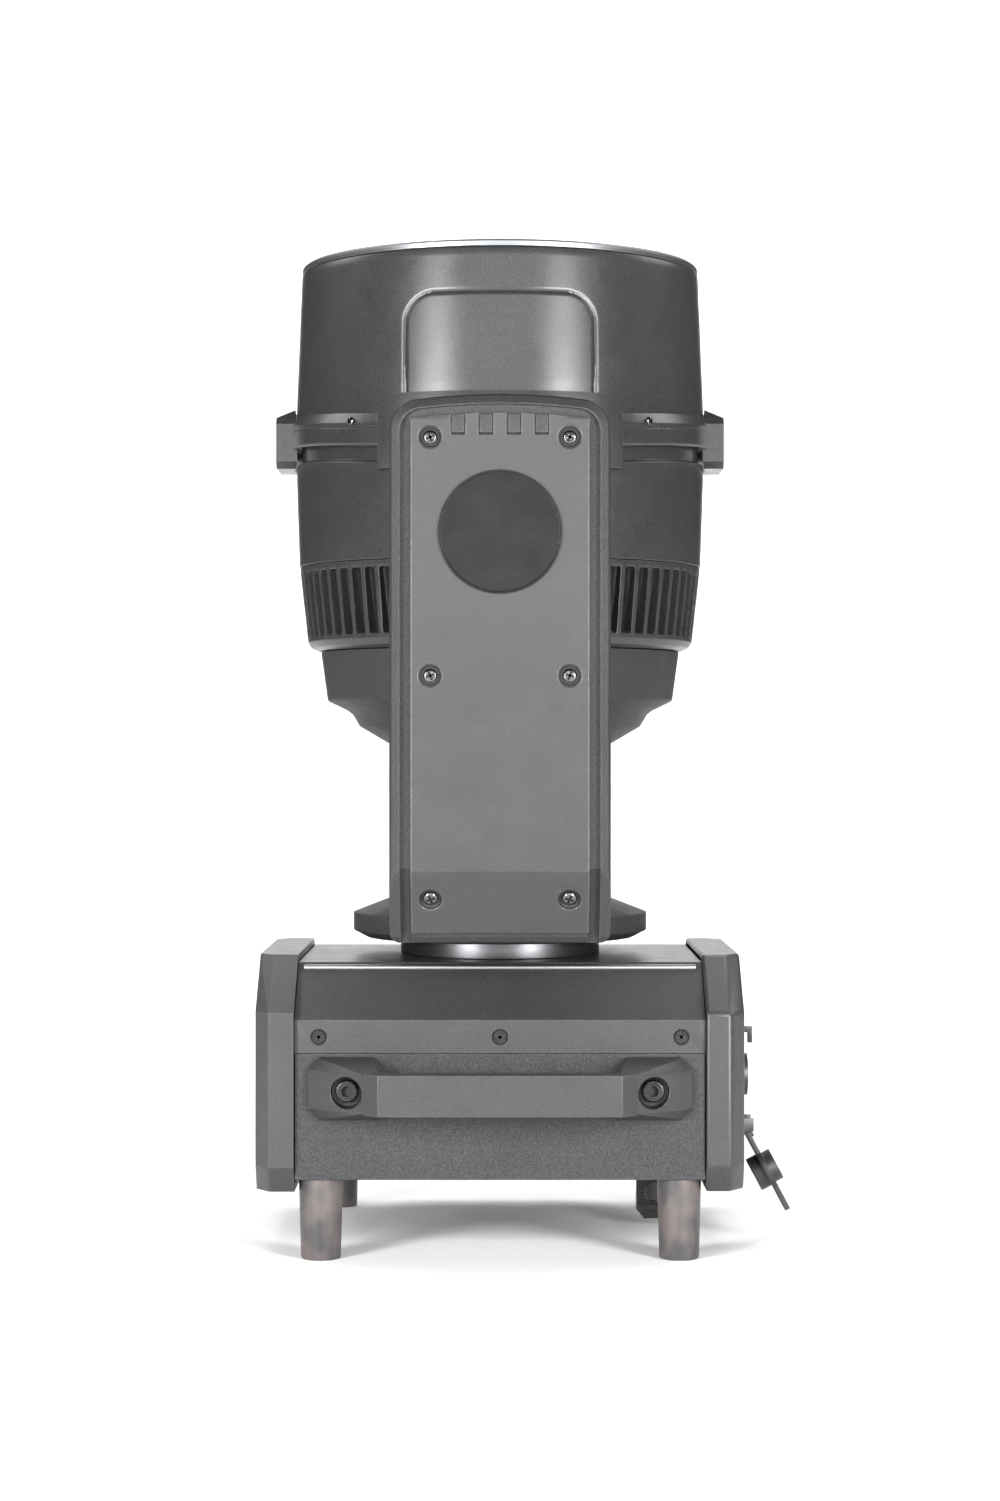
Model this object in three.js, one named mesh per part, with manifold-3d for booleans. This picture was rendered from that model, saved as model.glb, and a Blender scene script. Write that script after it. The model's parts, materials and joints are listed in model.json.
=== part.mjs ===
// Moving head wash light: a base on four feet, a yoke that pans on it, and a head that tilts in the yoke.
// Millimetres, +Z up. The origin is where the pan axis crosses the flat underside of the base tray.
// The display end faces -X, the connector end +X, and the front arm of the yoke is on -Y.

import * as THREE from "three";
import { ConvexGeometry } from "three/addons/geometries/ConvexGeometry.js";
import { mergeVertices } from "three/addons/utils/BufferGeometryUtils.js";
import Module from "manifold-3d";

const wasm = await Module();
wasm.setup();

// Driving dimensions.
const GAP = 0.3; // between pieces that touch
const WALL = 3; // most casings
const FOOT_HEIGHT = 50;
const TILT_AXIS_Z = 391;
const BODY = { halfLength: 125.2, halfDepth: 123, seam: 77.5, shoulder: 97.5, top: 130, topHalfDepth: 84 };
const UNDERSIDE = { height: 1.5, floor: 4.5, rim: 2, padHalfLength: 85, padHalfDepth: 60 };
const CAP = { inner: 125.6, ridge: 141, outer: 149.8, taper: 0.89, wall: 4 };
const SPINDLE = { radius: 30, bore: 22, bottom: 96, flange: 44 };
const PAN_DRIVE = { bigRadius: 52, smallRadius: 10, centres: 85, bottom: 104, top: 114 };
const TILT_DRIVE = { bigRadius: 38, smallRadius: 8, centres: 111, inner: 166, outer: 173.5 };
const ARM = { inner: 140, outer: 174.7, halfWidth: 66, bottom: 146, bend: 191, foot: 150, top: 474 };
const COVER = { halfWidth: 53, top: 461.7, thickness: 3 };
const NOTCH = { pitch: 16.55, width: 8.3, depth: 13 };
const TRUNNION_RADIUS = 10;
const SEAM = 67; // height of the joint between hood and lower shell over the tilt axis
const HOOD = { low: 132.2, high: 128.2, bottom: SEAM, top: 177.2 };
const COLLAR = { inner: 132.7, outer: 135.8, bottom: 64, top: 84, sag: 9.5 };
const VENT = { slots: 70, slotWidth: 8, top: -11.7, bottom: -59.7 };
const LENS = { pitch: 42, radius: 19.5, plateRadius: 106, plate: 140 };
const ZOOM_SCREW_X = -98;
const FLAP = { y: -52, hingeX: 156.5, hingeZ: 26, open: 152, length: 59 };
const SOCKET = { z: 57, flange: 15, face: 152.4, barrel: 13.3, bore: 11, floor: 136, mouth: 154.5 };
const DISPLAY = { halfWidth: 38, bottom: 62, top: 98, face: -150.3, buttonZ: 42, buttonRadius: 5 };
const HANDLE = { halfLength: 117, plate: 80, low: 37, high: 75, gripLow: 43, gripHigh: 68, reach: 163 };
const BOLT = { x: 92.6, z: 55.6, head: 7.5, headTop: -138.5, seat: -130.5, recess: 9.8 };
const FOOT = { radius: 13.6, tip: 12.2, x: 110, front: -107, rear: 104 };
const LARGE = 48; // sides of the large round shells
const MEDIUM = 24;
const SMALL = 16;
const BELT_ARC = 18; // steps of each of a belt's two arcs

// Materials.
function finish(color, roughness, metalness) {
  return new THREE.MeshStandardMaterial({ color, roughness, metalness });
}

const charcoal = finish(0x4a4a4e, 0.55, 0.3);
const armGrey = finish(0x77777a, 0.5, 0.35);
const glossBlack = finish(0x0c0c0e, 0.08, 0);
const bezelMetal = finish(0xa9acb0, 0.3, 1);
const brushedDark = finish(0x4c4d52, 0.35, 1);
const steel = finish(0x8b8d92, 0.35, 1);
const rubber = finish(0x3c3a39, 0.75, 0);
const blackPlastic = finish(0x161618, 0.5, 0);
const aluminium = finish(0xb4b7bb, 0.4, 1);
const board = finish(0x14361f, 0.6, 0);
const clear = finish(0xdfe6ea, 0.05, 0);

// A closed geometry as a solid with its faces pointing out.
function solid(geometry) {
  const bare = geometry.clone();
  bare.deleteAttribute("normal");
  bare.deleteAttribute("uv");
  const merged = mergeVertices(bare, 1e-4);
  const corners = [...merged.index.array];
  const kept = [];
  for (let i = 0; i < corners.length; i += 3) {
    const [a, b, c] = corners.slice(i, i + 3);
    if (a !== b && b !== c && c !== a) kept.push(a, b, c);
  }
  const vertProperties = merged.attributes.position.array;
  const make = (list) =>
    new wasm.Manifold(new wasm.Mesh({ numProp: 3, vertProperties, triVerts: new Uint32Array(list) }));
  const made = make(kept);
  return made.volume() < 0 ? make(kept.reverse()) : made;
}

// A named mesh of a solid.
function piece(name, shape, material) {
  const mesh = shape.getMesh();
  const geometry = new THREE.BufferGeometry();
  geometry.setAttribute("position", new THREE.BufferAttribute(mesh.vertProperties, 3));
  geometry.setIndex(new THREE.BufferAttribute(mesh.triVerts, 1));
  geometry.computeVertexNormals();
  const made = new THREE.Mesh(geometry, material);
  made.name = name;
  return made;
}

const union = (...shapes) => shapes.reduce((sum, shape) => sum.add(shape));
const cut = (body, ...tools) => tools.reduce((rest, tool) => rest.subtract(tool), body);

function box([x0, x1], [y0, y1], [z0, z1]) {
  const geometry = new THREE.BoxGeometry(x1 - x0, y1 - y0, z1 - z0);
  return solid(geometry.translate((x0 + x1) / 2, (y0 + y1) / 2, (z0 + z1) / 2));
}

// Turns geometry made along Z to lie along another axis: x keeps (y, z) as its section, y keeps (x, z).
const TURNS = {
  x: new THREE.Matrix4().set(0, 0, 1, 0, 1, 0, 0, 0, 0, 1, 0, 0, 0, 0, 0, 1),
  y: new THREE.Matrix4().set(1, 0, 0, 0, 0, 0, 1, 0, 0, 1, 0, 0, 0, 0, 0, 1),
  z: new THREE.Matrix4(),
};

// A round bar along an axis, from one place on it to another, with its centre in the plane across it.
function rod(axis, radius, [from, to], [u, v] = [0, 0], sides = SMALL) {
  const geometry = new THREE.CylinderGeometry(radius, radius, to - from, sides).rotateX(Math.PI / 2);
  return solid(geometry.translate(u, v, (from + to) / 2).applyMatrix4(TURNS[axis]));
}

const shapeOf = (points) => new THREE.Shape(points.map(([u, v]) => new THREE.Vector2(u, v)));

// An outline, as points or as a THREE.Shape, carried along an axis.
function prism(axis, outline, [from, to], options = {}) {
  const shape = Array.isArray(outline) ? shapeOf(outline) : outline;
  const settings = { depth: to - from, bevelEnabled: false, ...options };
  const geometry = new THREE.ExtrudeGeometry(shape, settings);
  return solid(geometry.translate(0, 0, from).applyMatrix4(TURNS[axis]));
}

// A closed profile of [radius, z] points turned about Z.
function turned(profile, sides = LARGE, closed = true) {
  const points = profile.map(([r, z]) => new THREE.Vector2(r, z));
  if (closed) points.push(points[0].clone());
  return solid(new THREE.LatheGeometry(points, sides).rotateX(Math.PI / 2));
}

const ring = (inner, outer, [z0, z1], sides = LARGE) =>
  turned([[inner, z0], [outer, z0], [outer, z1], [inner, z1]], sides);

// A ring about an axis parallel to Y through x = 0 and z = 0.
const ringAlongY = (inner, outer, [y0, y1], sides = MEDIUM) =>
  cut(rod("y", outer, [y0, y1], [0, 0], sides), rod("y", inner, [y0 - 1, y1 + 1], [0, 0], sides));

const mirrored = (points) => [...points, ...points.map(([u, v]) => [-u, v]).reverse()];

function roundedRectangle(halfWidth, bottom, top, radius) {
  const shape = new THREE.Shape();
  shape.moveTo(-halfWidth + radius, bottom);
  shape.lineTo(halfWidth - radius, bottom);
  shape.absarc(halfWidth - radius, bottom + radius, radius, -Math.PI / 2, 0);
  shape.absarc(halfWidth - radius, top - radius, radius, 0, Math.PI / 2);
  shape.absarc(-halfWidth + radius, top - radius, radius, Math.PI / 2, Math.PI);
  shape.absarc(-halfWidth + radius, bottom + radius, radius, Math.PI, Math.PI * 1.5);
  return shape;
}

// The outline round two pulleys, at (0, 0) and (0, centres).
function beltOutline(bigRadius, smallRadius, centres) {
  const lean = Math.asin((bigRadius - smallRadius) / centres);
  const shape = new THREE.Shape();
  shape.absarc(0, 0, bigRadius, Math.PI - lean, lean + 2 * Math.PI);
  shape.absarc(0, centres, smallRadius, lean, Math.PI - lean);
  return shape;
}

// ---- Base ----

const base = new THREE.Group();

// A channel, open on top. Its floor is raised, but for the clamp pad in the middle and a rim at each side.
function baseTray() {
  const { halfDepth, seam, halfLength } = BODY;
  const { height, floor, rim, padHalfLength, padHalfDepth } = UNDERSIDE;
  const outline = mirrored([
    [halfDepth - rim, height],
    [halfDepth - rim, 0],
    [halfDepth, 0],
    [halfDepth, seam - GAP],
    [halfDepth - WALL, seam - GAP],
    [halfDepth - WALL, floor],
  ]);
  const channel = prism("x", outline, [-halfLength, halfLength]);
  const pad = box([-padHalfLength, padHalfLength], [-padHalfDepth, padHalfDepth], [0, height + 1]);
  return piece("base_tray", union(channel, pad), charcoal);
}

function topCover() {
  const { halfDepth, seam, shoulder, top, topHalfDepth, halfLength } = BODY;
  const roll = 5;
  const outline = mirrored([
    [halfDepth - WALL, seam],
    [halfDepth, seam],
    [halfDepth, shoulder],
    [topHalfDepth + roll, top - roll],
    [topHalfDepth, top],
  ]);
  const inside = mirrored([
    [halfDepth - WALL, seam - 1],
    [halfDepth - WALL, shoulder - 1.5],
    [topHalfDepth - 1, top - WALL],
  ]);
  const shell = cut(
    prism("x", outline, [-halfLength, halfLength]),
    prism("x", inside, [-halfLength - 1, halfLength + 1]),
    rod("z", 46, [top - 10, top + 1], [0, 0], MEDIUM),
  );
  return piece("top_cover", shell, charcoal);
}

// One end cap: a deep tray that is open towards the middle of the base, with its outer edge tapered in.
function capShell(side) {
  const outline = mirrored([
    [117, -8],
    [127, 8],
    [127, 102],
    [81, 134.5],
  ]);
  const middle = 60; // height that parts the lower points, which shrink upwards, from the upper ones
  const slab = (from, to, taper, shrink) => {
    const points = outline.map(([y, z]) => [
      y - Math.sign(y) * shrink,
      z > middle ? z - shrink : z + shrink,
    ]);
    const settings = { depth: to - from, bevelEnabled: false };
    const geometry = new THREE.ExtrudeGeometry(shapeOf(points), settings);
    const position = geometry.attributes.position;
    for (let i = 0; i < position.count; i += 1)
      if (position.getZ(i) > 0) position.setX(i, position.getX(i) * taper);
    return solid(geometry.translate(0, 0, from).applyMatrix4(TURNS.x));
  };
  const { inner, ridge, outer, taper, wall } = CAP;
  const outside = union(slab(inner, ridge, 1, 0), slab(ridge, outer, taper, 0));
  const hollow = union(slab(inner - 1, ridge, 1, wall), slab(ridge, outer - wall, taper + 0.03, wall));
  const shell = cut(outside, hollow);
  return side > 0 ? shell : shell.mirror([1, 0, 0]);
}

const BUTTON_PLACES = [-27, -9, 9, 27];

function displayCap() {
  const { halfWidth, bottom, top, buttonZ, buttonRadius } = DISPLAY;
  const reach = [-CAP.outer - 1, -CAP.outer + CAP.wall + 1];
  const across = [-halfWidth - GAP, halfWidth + GAP];
  const opening = box(reach, across, [bottom - GAP, top + GAP]);
  const holes = BUTTON_PLACES.map((y) => rod("x", buttonRadius + 0.5, reach, [y, buttonZ]));
  return piece("end_cap_display", cut(capShell(-1), opening, ...holes), charcoal);
}

function displayWindow() {
  const { halfWidth, bottom, top, face } = DISPLAY;
  const shape = box([face, face + 3.3], [-halfWidth, halfWidth], [bottom, top]);
  return piece("display_window", shape, glossBlack);
}

function controlBoard() {
  return piece("control_board", box([-141, -139.4], [-48, 48], [28, 104]), board);
}

function menuButtons() {
  const travel = [-152.2, -142.5];
  return BUTTON_PLACES.map((y, i) => {
    const shape = rod("x", DISPLAY.buttonRadius, travel, [y, DISPLAY.buttonZ]);
    return piece(`menu_button_${i + 1}`, shape, blackPlastic);
  });
}

const DATA_SOCKETS = [
  ["data_inlet", 4],
  ["data_outlet", 50],
];

// The end cap with a square hole behind the flange of each socket.
function connectorCap() {
  const half = SOCKET.barrel + 0.5;
  const reach = [CAP.outer - CAP.wall - 1, CAP.outer + 1];
  const places = [FLAP.y, ...DATA_SOCKETS.map(([, y]) => y)];
  const holes = places.map((y) => box(reach, [y - half, y + half], [SOCKET.z - half, SOCKET.z + half]));
  return piece("end_cap_connector", cut(capShell(1), ...holes), charcoal);
}

// A socket: a square flange on the cap's face and a barrel through its hole, hollow towards the plug.
function socketBody(y, mouth, ...fittings) {
  const { z, flange, face, barrel, bore, floor } = SOCKET;
  const square = box([CAP.outer + GAP, face], [y - flange, y + flange], [z - flange, z + flange]);
  const round = rod("x", barrel, [floor - 8, mouth], [y, z], MEDIUM);
  const hollow = rod("x", bore, [floor, mouth + 1], [y, z], MEDIUM);
  return cut(union(square, round, ...fittings), hollow);
}

function dataSockets() {
  return DATA_SOCKETS.map(([name, y]) => piece(name, socketBody(y, SOCKET.mouth), blackPlastic));
}

// The power inlet also carries the flap's two hinge ears, its pin, and the catch above the mouth.
function powerInlet() {
  const { y, hingeX, hingeZ } = FLAP;
  const { flange, face } = SOCKET;
  const back = CAP.outer + GAP;
  const lowerPlate = cut(
    box([back, face], [y - flange, y + flange], [hingeZ - 4, SOCKET.z]),
    box([back - 1, face + 1], [y - 9, y + 9], [hingeZ - 5, hingeZ + 4]),
  );
  const earHeight = [hingeZ - 4, hingeZ + 4];
  const ear = (from) => box([face - 0.4, hingeX + 3], [y + from, y + from + 3], earHeight);
  const pin = rod("y", 1.2, [y - 11, y + 11], [hingeX, hingeZ], 10);
  const catchOutline = [
    [back, 68],
    [face, 68],
    [face, 83.5],
    [156.6, 83.5],
    [156.6, 77],
    [159.4, 77],
    [159.4, 87],
    [back, 87],
  ];
  const hook = prism("y", catchOutline, [y - 3, y + 3]);
  return piece("power_inlet", socketBody(y, 156, lowerPlate, ear(-12), ear(9), pin, hook), blackPlastic);
}

// The flap, built closed and upright in its hinge's frame, then turned out to where it hangs open.
function powerFlap() {
  const centre = SOCKET.z - FLAP.hingeZ;
  const plate = box([1.5, 5], [-8.5, 8.5], [4, FLAP.length]);
  const disc = rod("x", 14.5, [1.5, 5], [0, centre], MEDIUM);
  const knuckle = rod("y", 3.2, [-8.5, 8.5], [0, 0], 16);
  const neck = box([0, 5], [-8.5, 8.5], [1, 8]);
  const seal = rod("x", 10.3, [-4, 4], [0, centre], MEDIUM);
  const boss = rod("x", 11, [4, 12], [0, centre], MEDIUM);
  const fork = box([2, 8], [-4, 4], [49, FLAP.length + 1]);
  const bore = rod("y", 1.7, [-9, 9], [0, 0], 10);
  const shape = cut(union(plate, disc, knuckle, neck, seal, boss), fork, bore);
  const flap = piece("power_inlet_flap", shape, rubber);
  flap.position.set(FLAP.hingeX, FLAP.y, FLAP.hingeZ);
  flap.rotation.y = THREE.MathUtils.degToRad(FLAP.open);
  return flap;
}

// One carrying handle on -Y: a raised grip, and at each end a pad that rises from the wall to meet it.
function handleShape() {
  const { halfLength, plate, low, high, gripLow, gripHigh, reach } = HANDLE;
  const back = -BODY.halfDepth - GAP;
  const edge = back - 4;
  const crest = -reach + 9;
  const corner = 7;
  const padOutline = [
    [plate - 8, low],
    [halfLength - corner, low],
    [halfLength, low + corner],
    [halfLength, high - corner],
    [halfLength - corner, high],
    [plate - 3, high],
    [plate - 8, high - 5],
  ];
  const crestOutline = [
    [plate - 8, gripLow + 1],
    [plate + 2, gripLow + 1],
    [plate + 2, gripHigh - 1],
    [plate - 8, gripHigh - 1],
  ];
  const at = (points, y) => points.map(([x, z]) => new THREE.Vector3(x, y, z));
  const corners = [...at(padOutline, back), ...at(padOutline, edge), ...at(crestOutline, crest)];
  const pad = solid(new ConvexGeometry(corners));
  const shape = mirrored([
    [plate - 12, back - 25],
    [plate - 8, back - 12],
    [plate - 4, back - 8],
    [plate + 2, crest],
    [plate - 7, -reach],
  ]);
  const grip = prism("z", shape, [gripLow, gripHigh]);
  const fingers = box([-plate + 10, plate - 10], [-147, back + 1], [low - 1, high + 1]);
  const boltHoles = [-BOLT.x, BOLT.x].map((x) =>
    union(
      rod("y", BOLT.recess, [-170, BOLT.seat], [x, BOLT.z], MEDIUM),
      rod("y", 5.4, [-140, -120], [x, BOLT.z]),
    ),
  );
  return cut(union(pad, pad.mirror([1, 0, 0]), grip), fingers, ...boltHoles);
}

function handleBolt() {
  const { head, headTop, seat } = BOLT;
  const cap = rod("y", head, [headTop, seat - GAP], [0, 0], 18);
  const shank = rod("y", 5, [seat - 0.5, -BODY.halfDepth - GAP - 0.2], [0, 0], 14);
  return cut(union(cap, shank), rod("y", 4, [headTop - 0.5, headTop + 4.5], [0, 0], 6));
}

function handles() {
  const made = [];
  for (const [end, side] of [["front", 1], ["rear", -1]]) {
    const group = new THREE.Group();
    group.rotation.z = side > 0 ? 0 : Math.PI;
    group.add(piece(`handle_${end}`, handleShape(), charcoal));
    for (const [hand, x] of [["left", -BOLT.x], ["right", BOLT.x]]) {
      const bolt = piece(`handle_bolt_${end}_${hand}`, handleBolt(), steel);
      bolt.position.set(x * side, 0, BOLT.z);
      group.add(bolt);
    }
    made.push(group);
  }
  return made;
}

function feet() {
  const { radius, tip, x } = FOOT;
  const profile = [
    [0, -FOOT_HEIGHT],
    [tip, -FOOT_HEIGHT],
    [radius - 0.2, -FOOT_HEIGHT + 1.5],
    [radius, UNDERSIDE.height - GAP],
    [0, UNDERSIDE.height - GAP],
  ];
  const made = [];
  for (const end of ["front", "rear"])
    for (const [hand, side] of [["left", -1], ["right", 1]]) {
      const foot = piece(`foot_${end}_${hand}`, turned(profile, MEDIUM, false), rubber);
      foot.position.set(side * x, FOOT[end], 0);
      made.push(foot);
    }
  return made;
}

// A drop-down block with an eye for the safety wire, behind the front right foot.
function safetyEye() {
  const top = UNDERSIDE.height - GAP;
  const block = prism("y", [[89, -38], [94, -44], [112, -44], [112, top], [89, top]], [8, 18]);
  const flange = box([86, 116], [-4, 30], [-4.5, top]);
  const eye = rod("y", 6.5, [0, 30], [100.5, -27]);
  return piece("safety_eye", cut(union(block, flange), eye), steel);
}

function powerSupply() {
  return piece("power_supply", box([-90, 70], [-112, -42], [5, 51]), aluminium);
}

function panRing() {
  const bore = SPINDLE.radius + 0.7;
  const profile = [
    [bore, 130.4],
    [64.4, 130.4],
    [64.4, 139.8],
    [62.8, 141.6],
    [bore, 141.6],
  ];
  return piece("pan_ring", turned(profile), brushedDark);
}

function panMotor() {
  const y = PAN_DRIVE.centres;
  const body = box([-21, 21], [y - 21, y + 21], [60, 100]);
  return piece("pan_motor", union(body, rod("z", 3, [99, 118], [0, y])), blackPlastic);
}

function belt(name, axis, drive, [from, to]) {
  const thickness = 1.6;
  const { bigRadius, smallRadius, centres } = drive;
  const inside = beltOutline(bigRadius + GAP, smallRadius + GAP, centres);
  const outside = beltOutline(bigRadius + GAP + thickness, smallRadius + GAP + thickness, centres);
  const options = { curveSegments: BELT_ARC };
  const loop = cut(
    prism(axis, outside, [from, to], options),
    prism(axis, inside, [from - 1, to + 1], options),
  );
  return piece(name, loop, rubber);
}

function panMotorPulley() {
  const { smallRadius, bottom, top, centres } = PAN_DRIVE;
  const pulley = piece("pan_motor_pulley", ring(3.5, smallRadius, [bottom, top], SMALL), aluminium);
  pulley.position.y = centres;
  return pulley;
}

base.add(baseTray(), topCover(), displayCap(), connectorCap(), displayWindow(), controlBoard());
base.add(...menuButtons(), ...dataSockets(), powerInlet(), powerFlap(), ...handles(), ...feet());
base.add(safetyEye(), powerSupply(), panRing(), panMotor(), panMotorPulley());
base.add(belt("pan_belt", "z", PAN_DRIVE, [PAN_DRIVE.bottom + 1, PAN_DRIVE.top - 1]));

// ---- Yoke ----

const yoke = new THREE.Group();

// The front view of an arm, with rounded upper corners and a slightly crowned top.
function armOutline() {
  const { halfWidth, bottom, top } = ARM;
  const radius = 19;
  const crown = 3;
  const sweep = Math.PI * 0.46; // each corner's arc stops where the crown takes over
  const centre = { x: halfWidth - radius, z: top - radius - crown };
  const shape = new THREE.Shape();
  shape.moveTo(-halfWidth, bottom);
  shape.lineTo(halfWidth, bottom);
  shape.lineTo(halfWidth, centre.z);
  shape.absarc(centre.x, centre.z, radius, 0, sweep);
  const shoulder = { x: centre.x + radius * Math.cos(sweep), z: centre.z + radius * Math.sin(sweep) };
  shape.quadraticCurveTo(0, top + crown, -shoulder.x, shoulder.z);
  shape.absarc(-centre.x, centre.z, radius, Math.PI - sweep, Math.PI);
  return shape;
}

// The front arm, on -Y: a box open to the outside, with the bearing boss of the tilt axis.
function armShape() {
  const { inner, outer, bend, foot, bottom } = ARM;
  const { thickness, top } = COVER;
  const chamfer = { depth: 9, size: 6 };
  const rolled = {
    bevelEnabled: true,
    bevelThickness: chamfer.depth,
    bevelSize: chamfer.size,
    bevelOffset: -chamfer.size,
    bevelSegments: 2,
    curveSegments: 6,
  };
  const slab = prism("y", armOutline(), [-outer + chamfer.depth, -inner + 20], rolled);
  const trimmed = slab.intersect(box([-70, 70], [-outer - 1, -inner], [bottom, 480]));
  const away = -outer - 9;
  const belowBend = [
    [away, bend],
    [-outer, bend],
    [-foot - 2.2, bottom + 4],
    [-foot + 1, bottom + 0.8],
    [-foot + 4, bottom],
    [-foot + 4, bottom - 9],
    [away, bottom - 9],
  ];
  const pocket = roundedRectangle(46, 200, 444, 8);
  const boss = rod("y", 27, [-150, -inner - WALL + 0.5], [0, TILT_AXIS_Z], MEDIUM);
  const bearingHole = rod("y", 20.4, [-151, -inner + 1], [0, TILT_AXIS_Z], MEDIUM);
  const hollowed = cut(
    trimmed,
    prism("x", belowBend, [-70, 70]),
    prism("y", pocket, [-outer - 5, -inner - WALL], { curveSegments: 3 }),
  );
  const half = NOTCH.width / 2 - 0.4;
  const ribs = notchPlaces().map((x) =>
    box([x - half, x + half], [-outer - thickness, -outer + 1], [top - NOTCH.depth + 1, top - 1.5]),
  );
  return union(cut(union(hollowed, boss), bearingHole), ...ribs);
}

function notchPlaces() {
  return [-1.5, -0.5, 0.5, 1.5].map((k) => k * NOTCH.pitch);
}

function yokeFrame() {
  const arm = armShape();
  const bridge = box([-66, 66], [-ARM.inner - 0.5, ARM.inner + 0.5], [ARM.bottom, 172]);
  const cavity = cut(
    box([-60, 60], [-134, 134], [ARM.bottom - 1, 167]),
    rod("z", 45, [ARM.bottom - 2, 168], [0, 0], MEDIUM),
  );
  const bore = rod("z", SPINDLE.bore, [ARM.bottom - 1, 173], [0, 0], MEDIUM);
  const edge = ARM.halfWidth + 0.1;
  const low = ARM.bottom - 0.1;
  const corner = [[edge, low], [edge - 5, low], [edge - 1.5, low + 2.1], [edge, low + 6.1]];
  const footCorner = prism("y", corner, [-160, -97]);
  const rightCorners = union(footCorner, footCorner.mirror([0, 1, 0]));
  const corners = union(rightCorners, rightCorners.mirror([1, 0, 0]));
  const frame = cut(union(bridge, arm, arm.mirror([0, 1, 0])), cavity, bore, corners);
  return piece("yoke_frame", frame, charcoal);
}

// The arm's outer cover: a plate that bends in towards the foot, with notches along its crowned top edge.
function armCover() {
  const { outer, bend, foot, bottom } = ARM;
  const { halfWidth, top, thickness } = COVER;
  const slope = new THREE.Vector2(foot - outer, bottom - bend).normalize();
  const away = new THREE.Vector2(-slope.y, slope.x);
  const length = 42;
  // The two lines of the bend at a distance from the frame's own face.
  const bendAt = (distance) => {
    const start = new THREE.Vector2(outer, bend).addScaledVector(away, distance);
    const steps = (outer + distance - start.x) / slope.x;
    const corner = start.clone().addScaledVector(slope, steps);
    const end = start.clone().addScaledVector(slope, length);
    return [
      [-outer - distance, top + 5],
      [-corner.x, corner.y],
      [-end.x, end.y],
    ];
  };
  const outline = [...bendAt(GAP), ...bendAt(GAP + thickness).reverse()];
  const front = new THREE.Shape();
  front.moveTo(-halfWidth, 140);
  front.lineTo(halfWidth, 140);
  front.lineTo(halfWidth, top - 3.6);
  front.quadraticCurveTo(0, top + 3.6, -halfWidth, top - 3.6);
  const plate = prism("x", outline, [-halfWidth, halfWidth]).intersect(
    prism("y", front, [-outer - 9, -100], { curveSegments: 8 }),
  );
  const notches = notchPlaces().map((x) =>
    box([x - NOTCH.width / 2, x + NOTCH.width / 2], [-outer - 9, -outer + 9], [top - NOTCH.depth, 480]),
  );
  return cut(plate, ...notches);
}

function armDressing() {
  const made = [];
  for (const [end, turn] of [["front", 0], ["rear", Math.PI]]) {
    const group = new THREE.Group();
    group.rotation.z = turn;
    const face = -ARM.outer - COVER.thickness - 2 * GAP;
    group.add(piece(`arm_cover_${end}`, armCover(), armGrey));
    const disc = rod("y", 36.6, [face - 1.5, face], [0, 0], LARGE);
    const badge = piece(`arm_badge_${end}`, disc, glossBlack);
    const race = ringAlongY(TRUNNION_RADIUS + 0.5, 20, [-149.7, -ARM.inner - GAP]);
    const bearing = piece(`tilt_bearing_${end}`, race, steel);
    badge.position.z = TILT_AXIS_Z;
    bearing.position.z = TILT_AXIS_Z;
    group.add(badge, bearing);
    made.push(group);
  }
  return made;
}

// The round cover below the yoke, cut away where the casting passes through it.
function yokeBaseCover() {
  const profile = [
    [66.5, 141],
    [86, 141],
    [95, 145.7],
    [95, 157],
    [66.8, 168],
    [66.8, 165],
    [92, 154.8],
    [92, 147.5],
    [85, 144.5],
    [66.5, 144.5],
  ];
  const casting = box([-66.4, 66.4], [-100, 100], [ARM.bottom - GAP, 180]);
  return piece("yoke_base_cover", cut(turned(profile), casting), charcoal);
}

function panSpindle() {
  const { radius, bore, bottom, flange } = SPINDLE;
  const top = ARM.bottom - 0.4;
  const under = top - 3.5;
  const profile = [
    [bore, bottom],
    [radius, bottom],
    [radius, under],
    [flange, under],
    [flange, top],
    [bore, top],
  ];
  return piece("pan_spindle", turned(profile, MEDIUM), steel);
}

function panPulley() {
  const { bigRadius, bottom, top } = PAN_DRIVE;
  return piece("pan_pulley", ring(SPINDLE.radius + GAP, bigRadius, [bottom, top]), aluminium);
}

function tiltMotor() {
  const z = TILT_AXIS_Z - TILT_DRIVE.centres;
  const body = box([-21, 21], [-164, -143.8], [z - 21, z + 21]);
  return piece("tilt_motor", union(body, rod("y", 2.5, [-174.2, -163], [0, z])), blackPlastic);
}

function tiltMotorPulley() {
  const { smallRadius, inner, outer, centres } = TILT_DRIVE;
  const shape = ringAlongY(3, smallRadius, [-outer, -inner], SMALL);
  const pulley = piece("tilt_motor_pulley", shape, aluminium);
  pulley.position.z = TILT_AXIS_Z - centres;
  return pulley;
}

function tiltBelt() {
  const { inner, outer } = TILT_DRIVE;
  const made = belt("tilt_belt", "y", TILT_DRIVE, [inner + 0.8, outer - 0.8]);
  made.rotation.x = Math.PI;
  made.position.z = TILT_AXIS_Z;
  return made;
}

yoke.add(yokeFrame(), ...armDressing(), yokeBaseCover(), panSpindle(), panPulley());
yoke.add(tiltMotor(), tiltMotorPulley(), tiltBelt());

// ---- Head, in a frame of its own at the tilt axis ----

const head = new THREE.Group();
head.position.z = TILT_AXIS_Z;

function hood() {
  const { low, high, bottom, top } = HOOD;
  const profile = [
    [low, bottom],
    [low - 0.6, 95],
    [high, top],
    [high - WALL, top],
    [high - WALL, 171.7],
    [112, 171.7],
    [112, 168.5],
    [high - WALL, 168.5],
    [low - WALL, bottom],
  ];
  return piece("head_hood", turned(profile), charcoal);
}

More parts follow.
